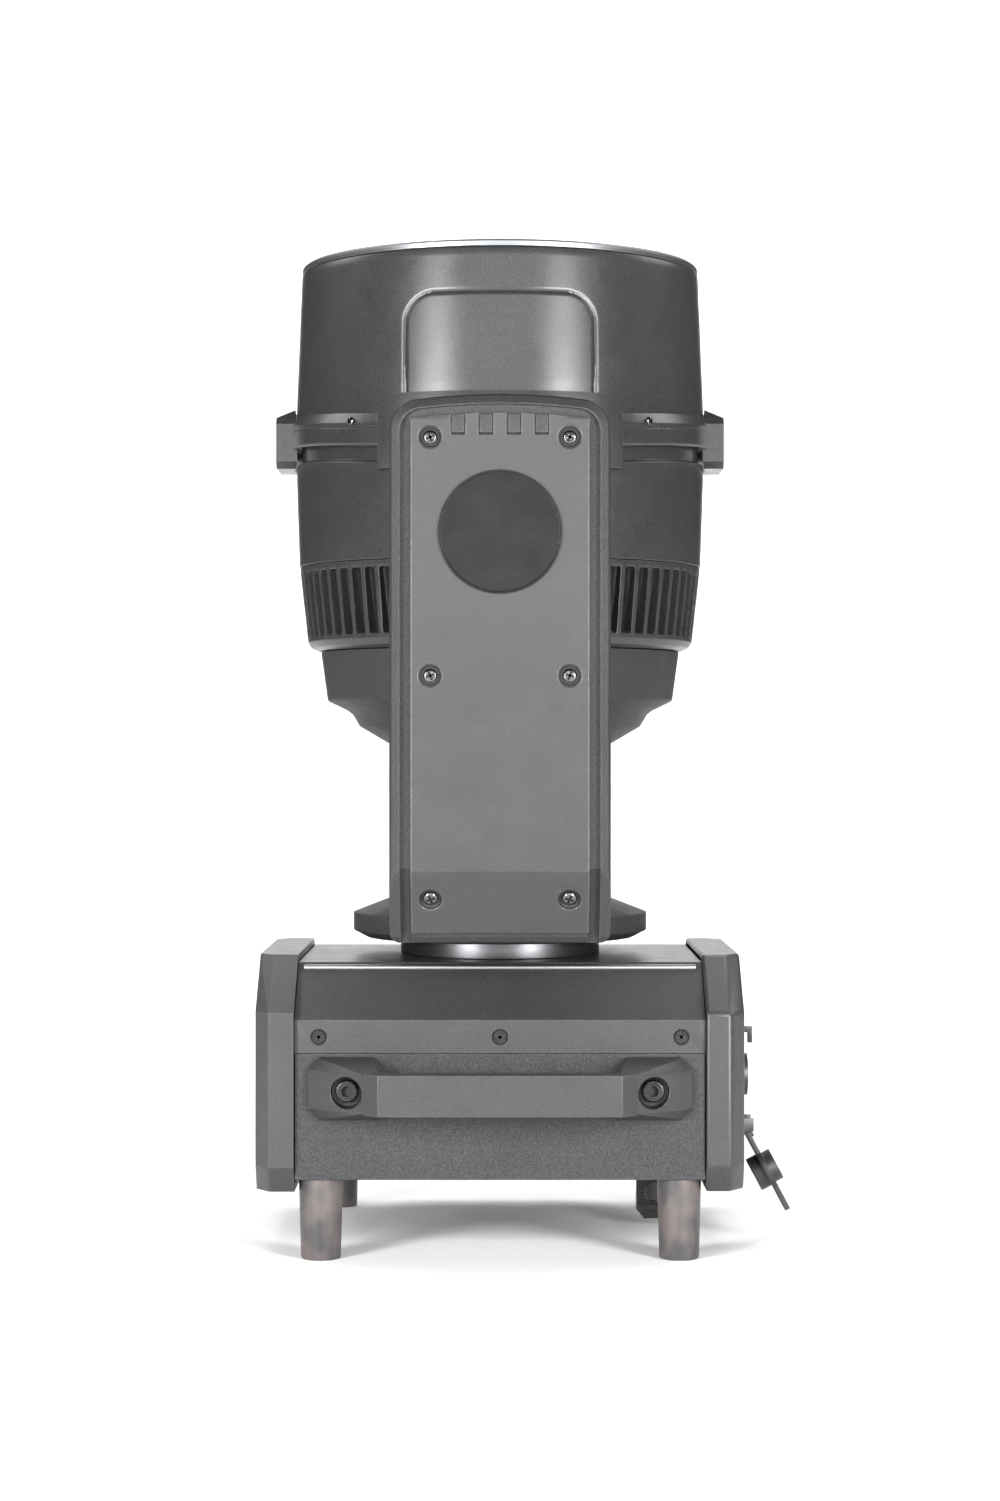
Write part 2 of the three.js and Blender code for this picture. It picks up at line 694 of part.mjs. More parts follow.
function frontBezel() {
  const profile = [
    [110, 177.5],
    [128, 177.5],
    [128, 180.8],
    [127, 181.8],
    [113, 181.8],
    [110, 179.4],
  ];
  return piece("front_bezel", turned(profile), bezelMetal);
}

function frontGlass() {
  return piece("front_glass", rod("z", 124.4, [172, 177], [0, 0], LARGE), clear);
}

// The collar over the seam of hood and lower shell. It dips towards the arms and has a lug on each side.
function headCollar() {
  const { inner, outer, bottom, top, sag } = COLLAR;
  const profile = [
    [inner, bottom],
    [outer - 1, bottom],
    [outer, bottom + 2],
    [outer, top - 8],
    [inner + 0.3, top],
    [inner, top],
  ].map(([r, z]) => new THREE.Vector2(r, z));
  const geometry = new THREE.LatheGeometry([...profile, profile[0].clone()], LARGE).rotateX(Math.PI / 2);
  const position = geometry.attributes.position;
  for (let i = 0; i < position.count; i += 1) {
    const share = position.getY(i) ** 2 / (position.getX(i) ** 2 + position.getY(i) ** 2);
    position.setZ(i, position.getZ(i) - sag * share);
  }
  const falling = [[130, 90.5], [144, 84], [144, 91]];
  const sideLug = cut(
    prism("x", mirrored([[22, 51.5], [26, 56], [26, 80], [18, 90]]), [100, 143.7]),
    prism("y", falling, [-30, 30]),
  );
  const endLug = prism("y", mirrored([[75, 43], [75, 76], [73, 81], [69, 85.5], [61, 88.5]]), [-150, -60]).intersect(
    rod("z", 138.2, [40, 92], [0, 0], LARGE),
  );
  const core = rod("z", inner, [30, 100], [0, 0], LARGE);
  const lugs = [sideLug, sideLug.mirror([1, 0, 0]), endLug, endLug.mirror([0, 1, 0])];
  return piece("head_collar", cut(union(solid(geometry), ...lugs), core), charcoal);
}

const trunnionHole = (radius) => rod("y", radius, [-150, 150], [0, 0], MEDIUM);

function lowerShell() {
  const profile = [
    [129.8, -11.4],
    [131.7, 40],
    [131.9, SEAM - GAP],
    [128.9, SEAM - GAP],
    [128.7, 40],
    [126.8, -11.4],
  ];
  return piece("head_lower_shell", cut(turned(profile), trunnionHole(TRUNNION_RADIUS + 0.8)), charcoal);
}

function ventRing() {
  const { slots, slotWidth, top, bottom } = VENT;
  const profile = [[129.6, top], [124.4, bottom], [117.7, -65.5], [113.8, -65.5], [125.6, top]];
  const slot = box([112, 140], [-slotWidth / 2, slotWidth / 2], [-57, -16]);
  const turns = Array.from({ length: slots }, (_, k) => slot.rotate([0, 0, (k * 360) / slots]));
  return piece("head_vent_ring", cut(turned(profile, slots), union(...turns)), charcoal);
}

function rearCover() {
  const profile = [
    [0, -129],
    [62, -129],
    [73.5, -124.3],
    [91, -114],
    [96.2, -105],
    [111.7, -97.6],
    [116, -66],
    [113, -66],
    [108.9, -95.6],
    [88.6, -112],
    [61.4, -126],
    [0, -126],
  ];
  return piece("head_rear_cover", turned(profile, LARGE, false), charcoal);
}

// The ring that carries the head's weight, with a hollow trunnion towards each arm.
function headFrame() {
  const hoop = ring(112, 122, [-14, 18]);
  const trunnions = union(
    rod("y", TRUNNION_RADIUS, [-TILT_DRIVE.inner + GAP, -116], [0, 0], SMALL),
    rod("y", TRUNNION_RADIUS, [116, 160], [0, 0], SMALL),
  );
  const bore = rod("y", 6, [-170, 170], [0, 0], 16);
  return piece("head_frame", cut(union(hoop, trunnions), bore), aluminium);
}

function tiltPulley() {
  const { bigRadius, inner, outer } = TILT_DRIVE;
  return piece("tilt_pulley", ringAlongY(6, bigRadius, [-outer, -inner], LARGE), aluminium);
}

const ZOOM_SCREW_HOLE = 4;

function heatSink() {
  const hole = rod("z", ZOOM_SCREW_HOLE, [77, 88], [ZOOM_SCREW_X, 0], 12);
  const plate = cut(rod("z", 104, [78, 86.7], [0, 0], LARGE), hole);
  const pitch = 12;
  const fins = Array.from({ length: 12 }, (_, k) => {
    const y = (k - 5.5) * pitch;
    return box([-70, 70], [y - 1.3, y + 1.3], [-45, 79]);
  });
  return piece("heat_sink", union(plate, ...fins), aluminium);
}

function ledBoard() {
  const hole = rod("z", ZOOM_SCREW_HOLE, [86, 90], [ZOOM_SCREW_X, 0], 12);
  return piece("led_board", cut(rod("z", 104, [87, 89], [0, 0], LARGE), hole), aluminium);
}

function zoomGuideRod() {
  return piece("zoom_guide_rod", rod("z", 3, [89.3, 160], [-ZOOM_SCREW_X, 0], 14), steel);
}

function zoomMotor() {
  const body = box([ZOOM_SCREW_X - 10, ZOOM_SCREW_X + 10], [-10, 10], [47, 77.7]);
  return piece("zoom_motor", body, blackPlastic);
}

function zoomScrew() {
  const screw = piece("zoom_screw", rod("z", 2.6, [78.2, 160], [0, 0], 14), steel);
  screw.position.x = ZOOM_SCREW_X;
  return screw;
}

// Nineteen lens places: one in the middle, six round it and twelve round those.
function lensPlaces() {
  const places = [];
  for (let q = -2; q <= 2; q += 1)
    for (let r = -2; r <= 2; r += 1)
      if (Math.abs(q + r) <= 2)
        places.push([LENS.pitch * (q + r / 2), (LENS.pitch * r * Math.sqrt(3)) / 2]);
  const turn = Math.PI / 6;
  const [c, s] = [Math.cos(turn), Math.sin(turn)];
  return places.map(([x, y]) => [x * c - y * s, x * s + y * c]);
}

function lensPlate() {
  const { plateRadius, plate, radius } = LENS;
  const disc = rod("z", plateRadius, [plate, plate + 4], [0, 0], LARGE);
  const profile = [
    [0, plate + 3],
    [radius, plate + 3],
    [radius, plate + 7],
    [0, plate + 12.5],
  ];
  const dome = turned(profile, 12, false);
  const domes = lensPlaces().map(([x, y]) => dome.translate([x, y, 0]));
  const through = [plate - 1, plate + 5];
  const holes = [ZOOM_SCREW_X, -ZOOM_SCREW_X].map((x) => rod("z", 3.6, through, [x, 0], 14));
  return piece("zoom_lens_plate", cut(union(disc, ...domes), ...holes), clear);
}

const FAN = { low: -84, high: -59, bore: 56, hub: 20 };

function fanFrame() {
  const { low, high, bore, hub } = FAN;
  const half = 60;
  const strut = { reach: 58, half: 3, top: low + 3.5 };
  const shell = cut(
    box([-half, half], [-half, half], [low, high]),
    rod("z", bore, [low - 1, high + 1], [0, 0], MEDIUM),
  );
  const along = [-strut.reach, strut.reach];
  const across = [-strut.half, strut.half];
  const upTo = [low, strut.top];
  const struts = union(box(along, across, upTo), box(across, along, upTo), rod("z", hub, upTo));
  return piece("fan_frame", union(shell, struts), blackPlastic);
}

function fanRotor() {
  const { low, high, hub, bore } = FAN;
  const bladeCount = 7;
  const middle = (low + high) / 2 + 2;
  const flat = box([hub - 3, bore - 3], [-11, 11], [-0.9, 0.9]);
  const blade = flat.rotate([35, 0, 0]).translate([0, 0, middle]);
  const turns = Array.from({ length: bladeCount }, (_, k) => (k * 360) / bladeCount);
  const blades = turns.map((turn) => blade.rotate([0, 0, turn]));
  const middleHub = rod("z", hub - 0.5, [low + 4.2, high - 1], [0, 0], MEDIUM);
  return piece("fan_rotor", union(middleHub, ...blades), blackPlastic);
}

head.add(hood(), frontBezel(), frontGlass(), headCollar(), lowerShell(), ventRing(), rearCover());
head.add(headFrame(), tiltPulley(), heatSink(), ledBoard(), zoomGuideRod(), zoomMotor(), zoomScrew());
head.add(lensPlate(), fanFrame(), fanRotor());

const movingHeadLight = new THREE.Group();
movingHeadLight.add(base, yoke, head);

export default movingHeadLight;
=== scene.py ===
"""Looks of a moving head wash light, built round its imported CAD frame.

Metres, +Z up, the front arm of the yoke on -Y.
"""

import json
import math

import bmesh
import bpy
from mathutils import Matrix, Vector

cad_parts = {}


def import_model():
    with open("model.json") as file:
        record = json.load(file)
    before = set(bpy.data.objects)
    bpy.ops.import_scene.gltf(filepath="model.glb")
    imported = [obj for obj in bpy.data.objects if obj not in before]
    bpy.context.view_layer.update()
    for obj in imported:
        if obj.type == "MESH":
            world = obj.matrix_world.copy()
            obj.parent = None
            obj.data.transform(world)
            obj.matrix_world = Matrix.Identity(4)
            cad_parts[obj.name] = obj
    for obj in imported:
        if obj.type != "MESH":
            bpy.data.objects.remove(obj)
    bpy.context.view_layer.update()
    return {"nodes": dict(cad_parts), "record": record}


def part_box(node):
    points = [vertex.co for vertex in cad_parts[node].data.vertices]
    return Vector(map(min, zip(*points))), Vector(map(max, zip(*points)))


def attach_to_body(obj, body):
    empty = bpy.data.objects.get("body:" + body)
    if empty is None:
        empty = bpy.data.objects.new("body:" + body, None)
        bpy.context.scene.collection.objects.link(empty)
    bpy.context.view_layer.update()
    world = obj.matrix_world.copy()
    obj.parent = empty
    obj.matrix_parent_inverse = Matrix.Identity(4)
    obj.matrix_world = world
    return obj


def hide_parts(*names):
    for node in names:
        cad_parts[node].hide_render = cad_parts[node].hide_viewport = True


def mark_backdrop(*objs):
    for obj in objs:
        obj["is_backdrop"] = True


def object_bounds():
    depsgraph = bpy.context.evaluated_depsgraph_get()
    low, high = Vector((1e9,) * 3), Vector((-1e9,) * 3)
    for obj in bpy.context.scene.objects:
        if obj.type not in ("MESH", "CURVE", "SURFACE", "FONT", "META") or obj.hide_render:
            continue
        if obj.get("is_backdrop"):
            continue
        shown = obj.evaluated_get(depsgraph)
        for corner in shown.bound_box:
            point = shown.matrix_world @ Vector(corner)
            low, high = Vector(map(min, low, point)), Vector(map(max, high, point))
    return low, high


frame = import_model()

MM = 0.001
RECORD = frame["record"]
BODY_OF = {node: body for body, nodes in RECORD["behaviour"]["bodies"].items() for node in nodes}
SLOT_OF = {part["node"]: part["material_slot"] for part in RECORD["subparts"]}
JOINT = {joint["name"]: joint for joint in RECORD["behaviour"]["joints"]}
TILT_Z = JOINT["tilt"]["pos_m"][2]
QUARTER = math.pi / 2
HALF_TURN = Matrix.Rotation(math.pi, 4, "Z")
ROUND = 192  # sides of the large round shells
FINE_ROUND = 256  # sides of the collar
FLAT_AREA = 0.0002  # faces larger than this are shaded flat, in square metres
ON_AXIS = 1e-6  # a turned profile's points nearer than this to the axis share one vertex


# ---- Materials ----

NOISE_ROUGHNESS = 0.55
WEAR_REACH = 0.0012  # how far from an edge its wear begins, in metres
WEAR_SAMPLES = 3
WEAR_SCALE = 260.0


class Recipe:
    """A node material with short calls for the pieces that every finish is mixed from."""

    def __init__(self, name):
        self.material = bpy.data.materials.new(name)
        self.material.use_nodes = True
        self.tree = self.material.node_tree
        self.shader = self.tree.nodes["Principled BSDF"]
        self.place = self.node("ShaderNodeTexCoord", {}).outputs["Object"]

    def node(self, kind, inputs, **settings):
        """A new node. An input is linked when its value is another node's socket."""
        made = self.tree.nodes.new(kind)
        for key, value in settings.items():
            setattr(made, key, value)
        for key, value in inputs.items():
            if isinstance(value, bpy.types.NodeSocket):
                self.tree.links.new(value, made.inputs[key])
            else:
                made.inputs[key].default_value = value
        return made

    def noise(self, scale, detail=3.0, place=None):
        inputs = {"Scale": scale, "Detail": detail, "Roughness": NOISE_ROUGHNESS}
        inputs["Vector"] = place or self.place
        return self.node("ShaderNodeTexNoise", inputs).outputs["Fac"]

    def stretched(self, scale):
        return self.node("ShaderNodeMapping", {"Scale": scale, "Vector": self.place}).outputs["Vector"]

    def round_axis(self):
        """Radius and height only, so that a pattern runs round the Z axis as a lathe leaves it."""
        split = self.node("ShaderNodeSeparateXYZ", {0: self.place}).outputs
        flat = self.node("ShaderNodeCombineXYZ", {0: split[0], 1: split[1]}).outputs[0]
        length = self.node("ShaderNodeVectorMath", {0: flat}, operation="LENGTH").outputs["Value"]
        return self.node("ShaderNodeCombineXYZ", {0: length, 1: 1.0, 2: split[2]}).outputs[0]

    def spread(self, factor, low, high, start=0.3, stop=0.7):
        """A factor from noise as a number between two values."""
        inputs = {"From Min": start, "From Max": stop, "To Min": low, "To Max": high, "Value": factor}
        return self.node("ShaderNodeMapRange", inputs).outputs["Result"]

    def blend(self, factor, first, second):
        """A mix of two colours, each a tuple or a socket."""
        first, second = ((*end, 1.0) if isinstance(end, tuple) else end for end in (first, second))
        inputs = {"A": first, "B": second, "Factor": factor}
        return self.node("ShaderNodeMix", inputs, data_type="RGBA").outputs["Result"]

    def product(self, first, second):
        return self.node("ShaderNodeMath", {0: first, 1: second}, operation="MULTIPLY").outputs[0]

    def edge_wear(self, colour, worn, most):
        """Convex edges show a little of a lighter colour, broken up by noise."""
        surface = self.node("ShaderNodeNewGeometry", {}).outputs
        rounded = self.node("ShaderNodeBevel", {"Radius": WEAR_REACH}, samples=WEAR_SAMPLES)
        inputs = {0: rounded.outputs["Normal"], 1: surface["Normal"]}
        near = self.node("ShaderNodeVectorMath", inputs, operation="DOT_PRODUCT")
        edge = self.spread(near.outputs["Value"], most, 0.0, 0.9, 0.99)
        convex = self.spread(surface["Pointiness"], 0.0, 1.0, 0.5, 0.54)
        broken = self.spread(self.noise(WEAR_SCALE), 0.2, 1.0)
        return self.blend(self.product(self.product(edge, convex), broken), colour, worn)

    def bump(self, height, distance, strength):
        inputs = {"Distance": distance, "Strength": strength, "Height": height}
        return self.node("ShaderNodeBump", inputs).outputs["Normal"]

    def done(self, colour, roughness, normal, **fixed):
        """Links what varies over the surface. The fixed values are set on the shader's own sockets."""
        for socket, value in (("Base Color", colour), ("Roughness", roughness), ("Normal", normal)):
            self.tree.links.new(value, self.shader.inputs[socket])
        for name, value in fixed.items():
            self.shader.inputs[name.replace("_", " ")].default_value = value
        return self.material


def grey(value):
    """A charcoal tone, a little bluer than neutral."""
    return (value, value, 1.06 * value)


def scaled(colour, share, extra=0.0):
    """A colour made lighter or darker, with each channel at 1 at most."""
    return tuple(min(1.0, share * channel + extra) for channel in colour)


def painted(name, dark, light, grain, rough, specular, bump=0.00003, worn=0.16):
    """Paint or powder coat: a fine two-tone fleck, cloudy gloss, orange-peel bump and lighter edges."""
    mix = Recipe(name)
    fleck = mix.noise(grain, 2.0)
    cloud = mix.noise(14.0, 4.0)
    colour = mix.blend(mix.spread(fleck, 0.0, 1.0, 0.36, 0.66), grey(dark), grey(light))
    shade = mix.blend(mix.spread(cloud, 0.0, 0.22), colour, grey(0.7 * dark))
    colour = mix.edge_wear(shade, grey(worn), most=0.35)
    normal = mix.bump(fleck, bump, 0.8)
    sheen = mix.spread(mix.noise(60.0, 5.0), *rough)
    return mix.done(colour, sheen, normal, Metallic=0.08, Specular_IOR_Level=specular)


def metal(name, colour, rough, streaks, lathed=False):
    """Bare or anodised metal with fine tool marks along one direction, or round the axis when lathed."""
    mix = Recipe(name)
    place = mix.round_axis() if lathed else mix.stretched((streaks / 40.0, streaks / 40.0, streaks))
    lines = mix.noise(streaks if lathed else 1.0, 2.0, place)
    soft = mix.noise(35.0, 4.0)
    tone = mix.blend(mix.spread(lines, 0.0, 1.0), scaled(colour, 0.72), scaled(colour, 1.15))
    tone = mix.blend(mix.spread(soft, 0.0, 0.25), tone, scaled(colour, 0.6))
    normal = mix.bump(lines, 0.00001, 0.6)
    return mix.done(tone, mix.spread(lines, rough * 0.8, rough * 1.25), normal, Metallic=1.0)


def moulded(name, colour, rough):
    """Moulded plastic: spark-eroded grain, faint flow marks and rubbed corners."""
    mix = Recipe(name)
    fine = mix.noise(900.0, 4.0)
    flow = mix.noise(22.0, 5.0)
    tone = mix.blend(mix.spread(flow, 0.0, 0.6), colour, scaled(colour, 1.9, 0.01))
    tone = mix.edge_wear(tone, scaled(colour, 2.6, 0.02), most=0.4)
    normal = mix.bump(fine, 0.00004, 0.7)
    return mix.done(tone, mix.spread(flow, rough - 0.08, rough + 0.08), normal)


def gloss_black(name):
    mix = Recipe(name)
    haze = mix.noise(55.0, 6.0)
    tone = mix.blend(mix.spread(haze, 0.0, 1.0), (0.006, 0.006, 0.007), (0.012, 0.012, 0.013))
    ripple = mix.bump(mix.noise(18.0, 1.0), 0.00002, 0.3)
    return mix.done(tone, mix.spread(haze, 0.22, 0.30), ripple, Specular_IOR_Level=0.16)


def circuit_board(name):
    mix = Recipe(name)
    place = mix.stretched((260.0, 180.0, 180.0))
    tracks = mix.node("ShaderNodeTexBrick", {"Vector": place}).outputs["Fac"]
    tone = mix.blend(tracks, (0.012, 0.075, 0.035), (0.03, 0.16, 0.07))
    normal = mix.bump(tracks, 0.00005, 0.6)
    return mix.done(tone, mix.spread(mix.noise(80.0), 0.3, 0.5), normal)


def clear(name, tint, rough, ior):
    mix = Recipe(name)
    smear = mix.noise(9.0, 6.0)
    tone = mix.blend(mix.spread(smear, 0.0, 1.0), tint, scaled(tint, 0.94))
    ripple = mix.bump(mix.noise(30.0, 2.0), 0.00001, 0.2)
    sheen = mix.spread(smear, rough, rough + 0.04)
    return mix.done(tone, sheen, ripple, Transmission_Weight=1.0, IOR=ior)


def marbled_rubber(name):
    """Grey rubber with faint warm blotches where it has been handled."""
    mix = Recipe(name)
    fine = mix.noise(500.0, 4.0)
    blotch = mix.noise(55.0, 2.0, mix.stretched((1.0, 1.0, 0.6)))
    shade = mix.spread(blotch, 0.0, 0.7, 0.45, 0.62)
    tone = mix.blend(shade, (0.040, 0.038, 0.040), (0.105, 0.086, 0.077))
    tone = mix.edge_wear(tone, grey(0.15), most=0.4)
    normal = mix.bump(fine, 0.00003, 0.7)
    return mix.done(tone, mix.spread(blotch, 0.38, 0.5), normal)


FINISHES = (
    ("charcoal_shell", painted, 0.018, 0.052, 1700.0, (0.36, 0.46), 0.48, 0.00004),
    ("charcoal_casting", painted, 0.014, 0.044, 1600.0, (0.27, 0.34), 0.48, 0.00003),
    ("arm_panel", painted, 0.022, 0.044, 2600.0, (0.32, 0.40), 0.52, 0.00001, 0.42),
    ("gloss_black", gloss_black),
    ("bezel_metal", metal, (0.30, 0.31, 0.32), 0.38, 2600.0, True),
    ("brushed_dark", metal, (0.16, 0.16, 0.168), 0.36, 3200.0, True),
    ("steel", metal, (0.42, 0.42, 0.43), 0.30, 2400.0),
    ("black_steel", metal, (0.060, 0.060, 0.064), 0.26, 1800.0),
    ("rubber", marbled_rubber),
    ("black_plastic", moulded, (0.012, 0.012, 0.013), 0.42),
    ("aluminium", metal, (0.50, 0.51, 0.53), 0.36, 1500.0),
    ("circuit_board", circuit_board),
    ("clear_glass", clear, (0.95, 0.98, 0.98), 0.02, 1.46),
    ("lens_plastic", clear, (0.97, 0.98, 1.0), 0.04, 1.49),
)
MATERIALS = {name: maker(name, *values) for name, maker, *values in FINISHES}
BLACK_STEEL = MATERIALS["black_steel"]
PLASTIC = MATERIALS["black_plastic"]
BASE_COAT = MATERIALS["charcoal_shell"]
SHELL_PAINT = MATERIALS["charcoal_casting"]
MATT_PAINT = painted("charcoal_matt", 0.018, 0.042, 1900.0, (0.5, 0.6), 0.2)
YOKE_PAINT = painted("charcoal_yoke", 0.015, 0.046, 1600.0, (0.42, 0.52), 0.36)
# The tray's own coat, made a little darker in colour and duller in gloss than the cover's: painted shade for
# the shadow under the handles.
SHADED_TRAY_COAT = painted("charcoal_tray_shaded", 0.016, 0.050, 1500.0, (0.42, 0.54), 0.3, 0.00005)
SCREW_STEEL = metal("screw_black_oxide", (0.17, 0.17, 0.175), 0.2, 2600.0)
# Near-black painted shadow, set in the recesses round and under the screw heads where shade falls.
PAINTED_SHADOW = moulded("painted_shadow_cup", (0.004, 0.004, 0.004), 0.6)


# ---- Mesh helpers ----

def settle(piece, node):
    """Puts a finished piece on its node's body, and in its place."""
    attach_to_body(piece, BODY_OF[node])
    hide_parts(node)


def attach(piece, node):
    """Puts a further piece on a node's body."""
    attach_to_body(piece, BODY_OF[node])


def smooth(obj, degrees=32.0):
    """Smooth shading, but for edges sharper than an angle."""
    obj.data.shade_smooth()
    obj.data.set_sharp_from_angle(angle=math.radians(degrees))
    return obj


def from_bmesh(name, bm, material):
    """An object of a bmesh, which is freed."""
    bmesh.ops.recalc_face_normals(bm, faces=bm.faces)
    data = bpy.data.meshes.new(name)
    bm.to_mesh(data)
    bm.free()
    obj = bpy.data.objects.new(name, data)
    bpy.context.scene.collection.objects.link(obj)
    data.materials.append(material)
    return obj


def apply(obj):
    """Bakes an object's modifiers into its mesh."""
    evaluated = obj.evaluated_get(bpy.context.evaluated_depsgraph_get())
    data = bpy.data.meshes.new_from_object(evaluated)
    obj.modifiers.clear()
    old = obj.data
    obj.data = data
    bpy.data.meshes.remove(old)
    return obj


def bevel(obj, width, segments=3, degrees=28.0):
    """Rounds the edges that are sharper than an angle. Large faces stay flat in shading."""
    made = obj.modifiers.new("edge rounding", "BEVEL")
    made.width = width
    made.segments = segments
    made.limit_method = "ANGLE"
    made.angle_limit = math.radians(degrees)
    made.use_clamp_overlap = True
    made.miter_outer = "MITER_ARC"
    apply(obj)
    smooth(obj)
    for face in obj.data.polygons:
        face.use_smooth = face.area < FLAT_AREA
    return obj


def divided(obj, *planes):
    """Splits the faces of a mesh along planes, each an axis (0 to 2) and a place in millimetres."""
    bm = bmesh.new()
    bm.from_mesh(obj.data)
    for axis, place in planes:
        normal = Vector([float(k == axis) for k in range(3)])
        geometry = bm.verts[:] + bm.edges[:] + bm.faces[:]
        spot = normal * place * MM
        bmesh.ops.bisect_plane(bm, geom=geometry, dist=1e-7, plane_co=spot, plane_no=normal)
    bm.to_mesh(obj.data)
    bm.free()
    return obj


def combine(obj, operation, others):
    """Runs one boolean per other object and removes that object."""
    for other in others:
        made = obj.modifiers.new("boolean", "BOOLEAN")
        made.operation = operation
        made.solver = "EXACT"
        made.object = other
        apply(obj)
        bpy.data.objects.remove(other)
    return obj


def cut(obj, *tools):
    return combine(obj, "DIFFERENCE", tools)


def join_to(obj, *others):
    return combine(obj, "UNION", others)


def trim(obj, keep):
    return combine(obj, "INTERSECT", [keep])


NEARLY_STRAIGHT = math.radians(89)  # half the angle at a corner that needs no rounding
MOST_REACH = 0.48  # share of a side that a corner's rounding may take


def fillet(points, radius, steps=5):
    """A polyline with its inner corners rounded. A point may carry its own radius as a third number."""
    out = [Vector(points[0][:2])]
    for before, corner, after in zip(points, points[1:], points[2:]):
        a, b, c = Vector(before[:2]), Vector(corner[:2]), Vector(after[:2])
        r = corner[2] if len(corner) > 2 else radius
        u, v = (a - b).normalized(), (c - b).normalized()
        half = u.angle(v) / 2
        if r <= 0 or half > NEARLY_STRAIGHT:
            out.append(b)
            continue
        reach = min(r / math.tan(half), MOST_REACH * (a - b).length, MOST_REACH * (c - b).length)
        first, last = b + u * reach, b + v * reach
        for k in range(steps + 1):
            t = k / steps
            out.append(first * (1 - t) ** 2 + b * (2 * t * (1 - t)) + last * t ** 2)
    out.append(Vector(points[-1][:2]))
    return out


def circle(radius, centre, sides):
    turns = [2 * math.pi * k / sides for k in range(sides)]
    return [(centre[0] + radius * math.cos(t), centre[1] + radius * math.sin(t)) for t in turns]


def turned(name, profile, material, sides=ROUND, closed=True, centre=(0.0, 0.0)):
    """A profile of (radius, height) points turned about Z. It closes on itself, or ends on the axis."""
    bm = bmesh.new()
    rings = []
    for point in profile:
        ring = [centre] if point[0] < ON_AXIS else circle(point[0], centre, sides)
        rings.append([bm.verts.new((x, y, point[1])) for x, y in ring])
    pairs = list(zip(rings, rings[1:])) + ([(rings[-1], rings[0])] if closed else [])
    for low, high in pairs:
        for k in range(sides):
            n = (k + 1) % sides
            corners = [low[k % len(low)], low[n % len(low)], high[n % len(high)], high[k % len(high)]]
            unique = list(dict.fromkeys(corners))
            if len(unique) > 2:
                bm.faces.new(unique)
    return smooth(from_bmesh(name, bm, material))


SPOT_ALONG = {
    "x": lambda u, v, w: (w, u, v),
    "y": lambda u, v, w: (u, w, v),
    "z": lambda u, v, w: (u, v, w),
}


def prism(name, outline, low, high, axis, material):
    """An outline of (u, v) points carried from low to high along x, y or z."""
    spot = SPOT_ALONG[axis]
    bm = bmesh.new()
    ends = [[bm.verts.new(spot(p[0], p[1], w)) for p in outline] for w in (low, high)]
    bm.faces.new(ends[0])
    bm.faces.new(list(reversed(ends[1])))
    count = len(outline)
    for k in range(count):
        n = (k + 1) % count
        bm.faces.new((ends[0][k], ends[0][n], ends[1][n], ends[1][k]))
    return from_bmesh(name, bm, material)


def rod(name, radius, low, high, axis, centre, material, sides=48):
    """A round bar along an axis."""
    return prism(name, circle(radius, centre, sides), low, high, axis, material)


def block(name, low, high, material):
    x0, y0, z0 = low
    x1, y1, z1 = high
    return prism(name, [(x0, y0), (x1, y0), (x1, y1), (x0, y1)], z0, z1, "z", material)


def rounded_outline(half_width, low, high, radius, steps=10):
    """A rectangle about u = 0 with round corners."""
    centres = [(half_width - radius, low + radius, -90), (half_width - radius, high - radius, 0),
               (-half_width + radius, high - radius, 90), (-half_width + radius, low + radius, 180)]
    out = []
    for u, v, start in centres:
        for k in range(steps + 1):
            turn = math.radians(start + 90 * k / steps)
            out.append((u + radius * math.cos(turn), v + radius * math.sin(turn)))
    return out


def copy_of(node, name, material):
    """A cleaned copy of a CAD node's mesh, with flat areas joined into single faces."""
    source = frame["nodes"][node]
    bm = bmesh.new()
    bm.from_mesh(source.data)
    bmesh.ops.transform(bm, matrix=source.matrix_world, verts=bm.verts)
    bmesh.ops.remove_doubles(bm, verts=bm.verts, dist=1e-6)
    bmesh.ops.dissolve_limit(bm, angle_limit=math.radians(0.6), verts=bm.verts, edges=bm.edges)
    return from_bmesh(name, bm, material)


def refined(node, width, segments=3, degrees=28.0, material=None, tools=()):
    """A CAD node with its edges rounded, standing for that node."""
    made = copy_of(node, node + "_fine", material or MATERIALS[SLOT_OF[node]])
    cut(made, *tools)
    settle(bevel(made, width, segments, degrees), node)


def moved(obj, matrix):
    """Carries the mesh itself, so that the object stays at the origin."""
    obj.data.transform(matrix)
    obj.data.update()
    return obj


def merged(name, objects):
    """Several meshes as one object."""
    bm = bmesh.new()
    materials = []
    for obj in objects:
        before = len(bm.faces)
        bm.from_mesh(obj.data)
        bm.faces.ensure_lookup_table()
        own = [slot.material for slot in obj.material_slots]
        materials += [material for material in own if material not in materials]
        for face in bm.faces[before:]:
            face.material_index = materials.index(own[face.material_index])
    for obj in objects:
        bpy.data.objects.remove(obj)
    made = from_bmesh(name, bm, materials[0])
    for material in materials[1:]:
        made.data.materials.append(material)
    return smooth(made)


# ---- Screws ----

def cross_arms(radius, share, low, high, material):
    """The two crossing blocks of a recess. share is their width over their length."""
    narrow = radius * share
    return [block("arm", (-radius, -narrow, low), (radius, narrow, high), material),
            block("arm", (-narrow, -radius, low), (narrow, radius, high), material)]


def cross_recess(radius, depth):
    return join_to(*cross_arms(radius, 0.24, -depth, depth, SCREW_STEEL))


def painted_shadow_cross(radius, floor, top):
    """Painted shadow: near-black crossing blocks set in the bottom of a cross recess."""
    return merged("painted_shadow_cross", cross_arms(radius, 0.3, floor, top, PAINTED_SHADOW))


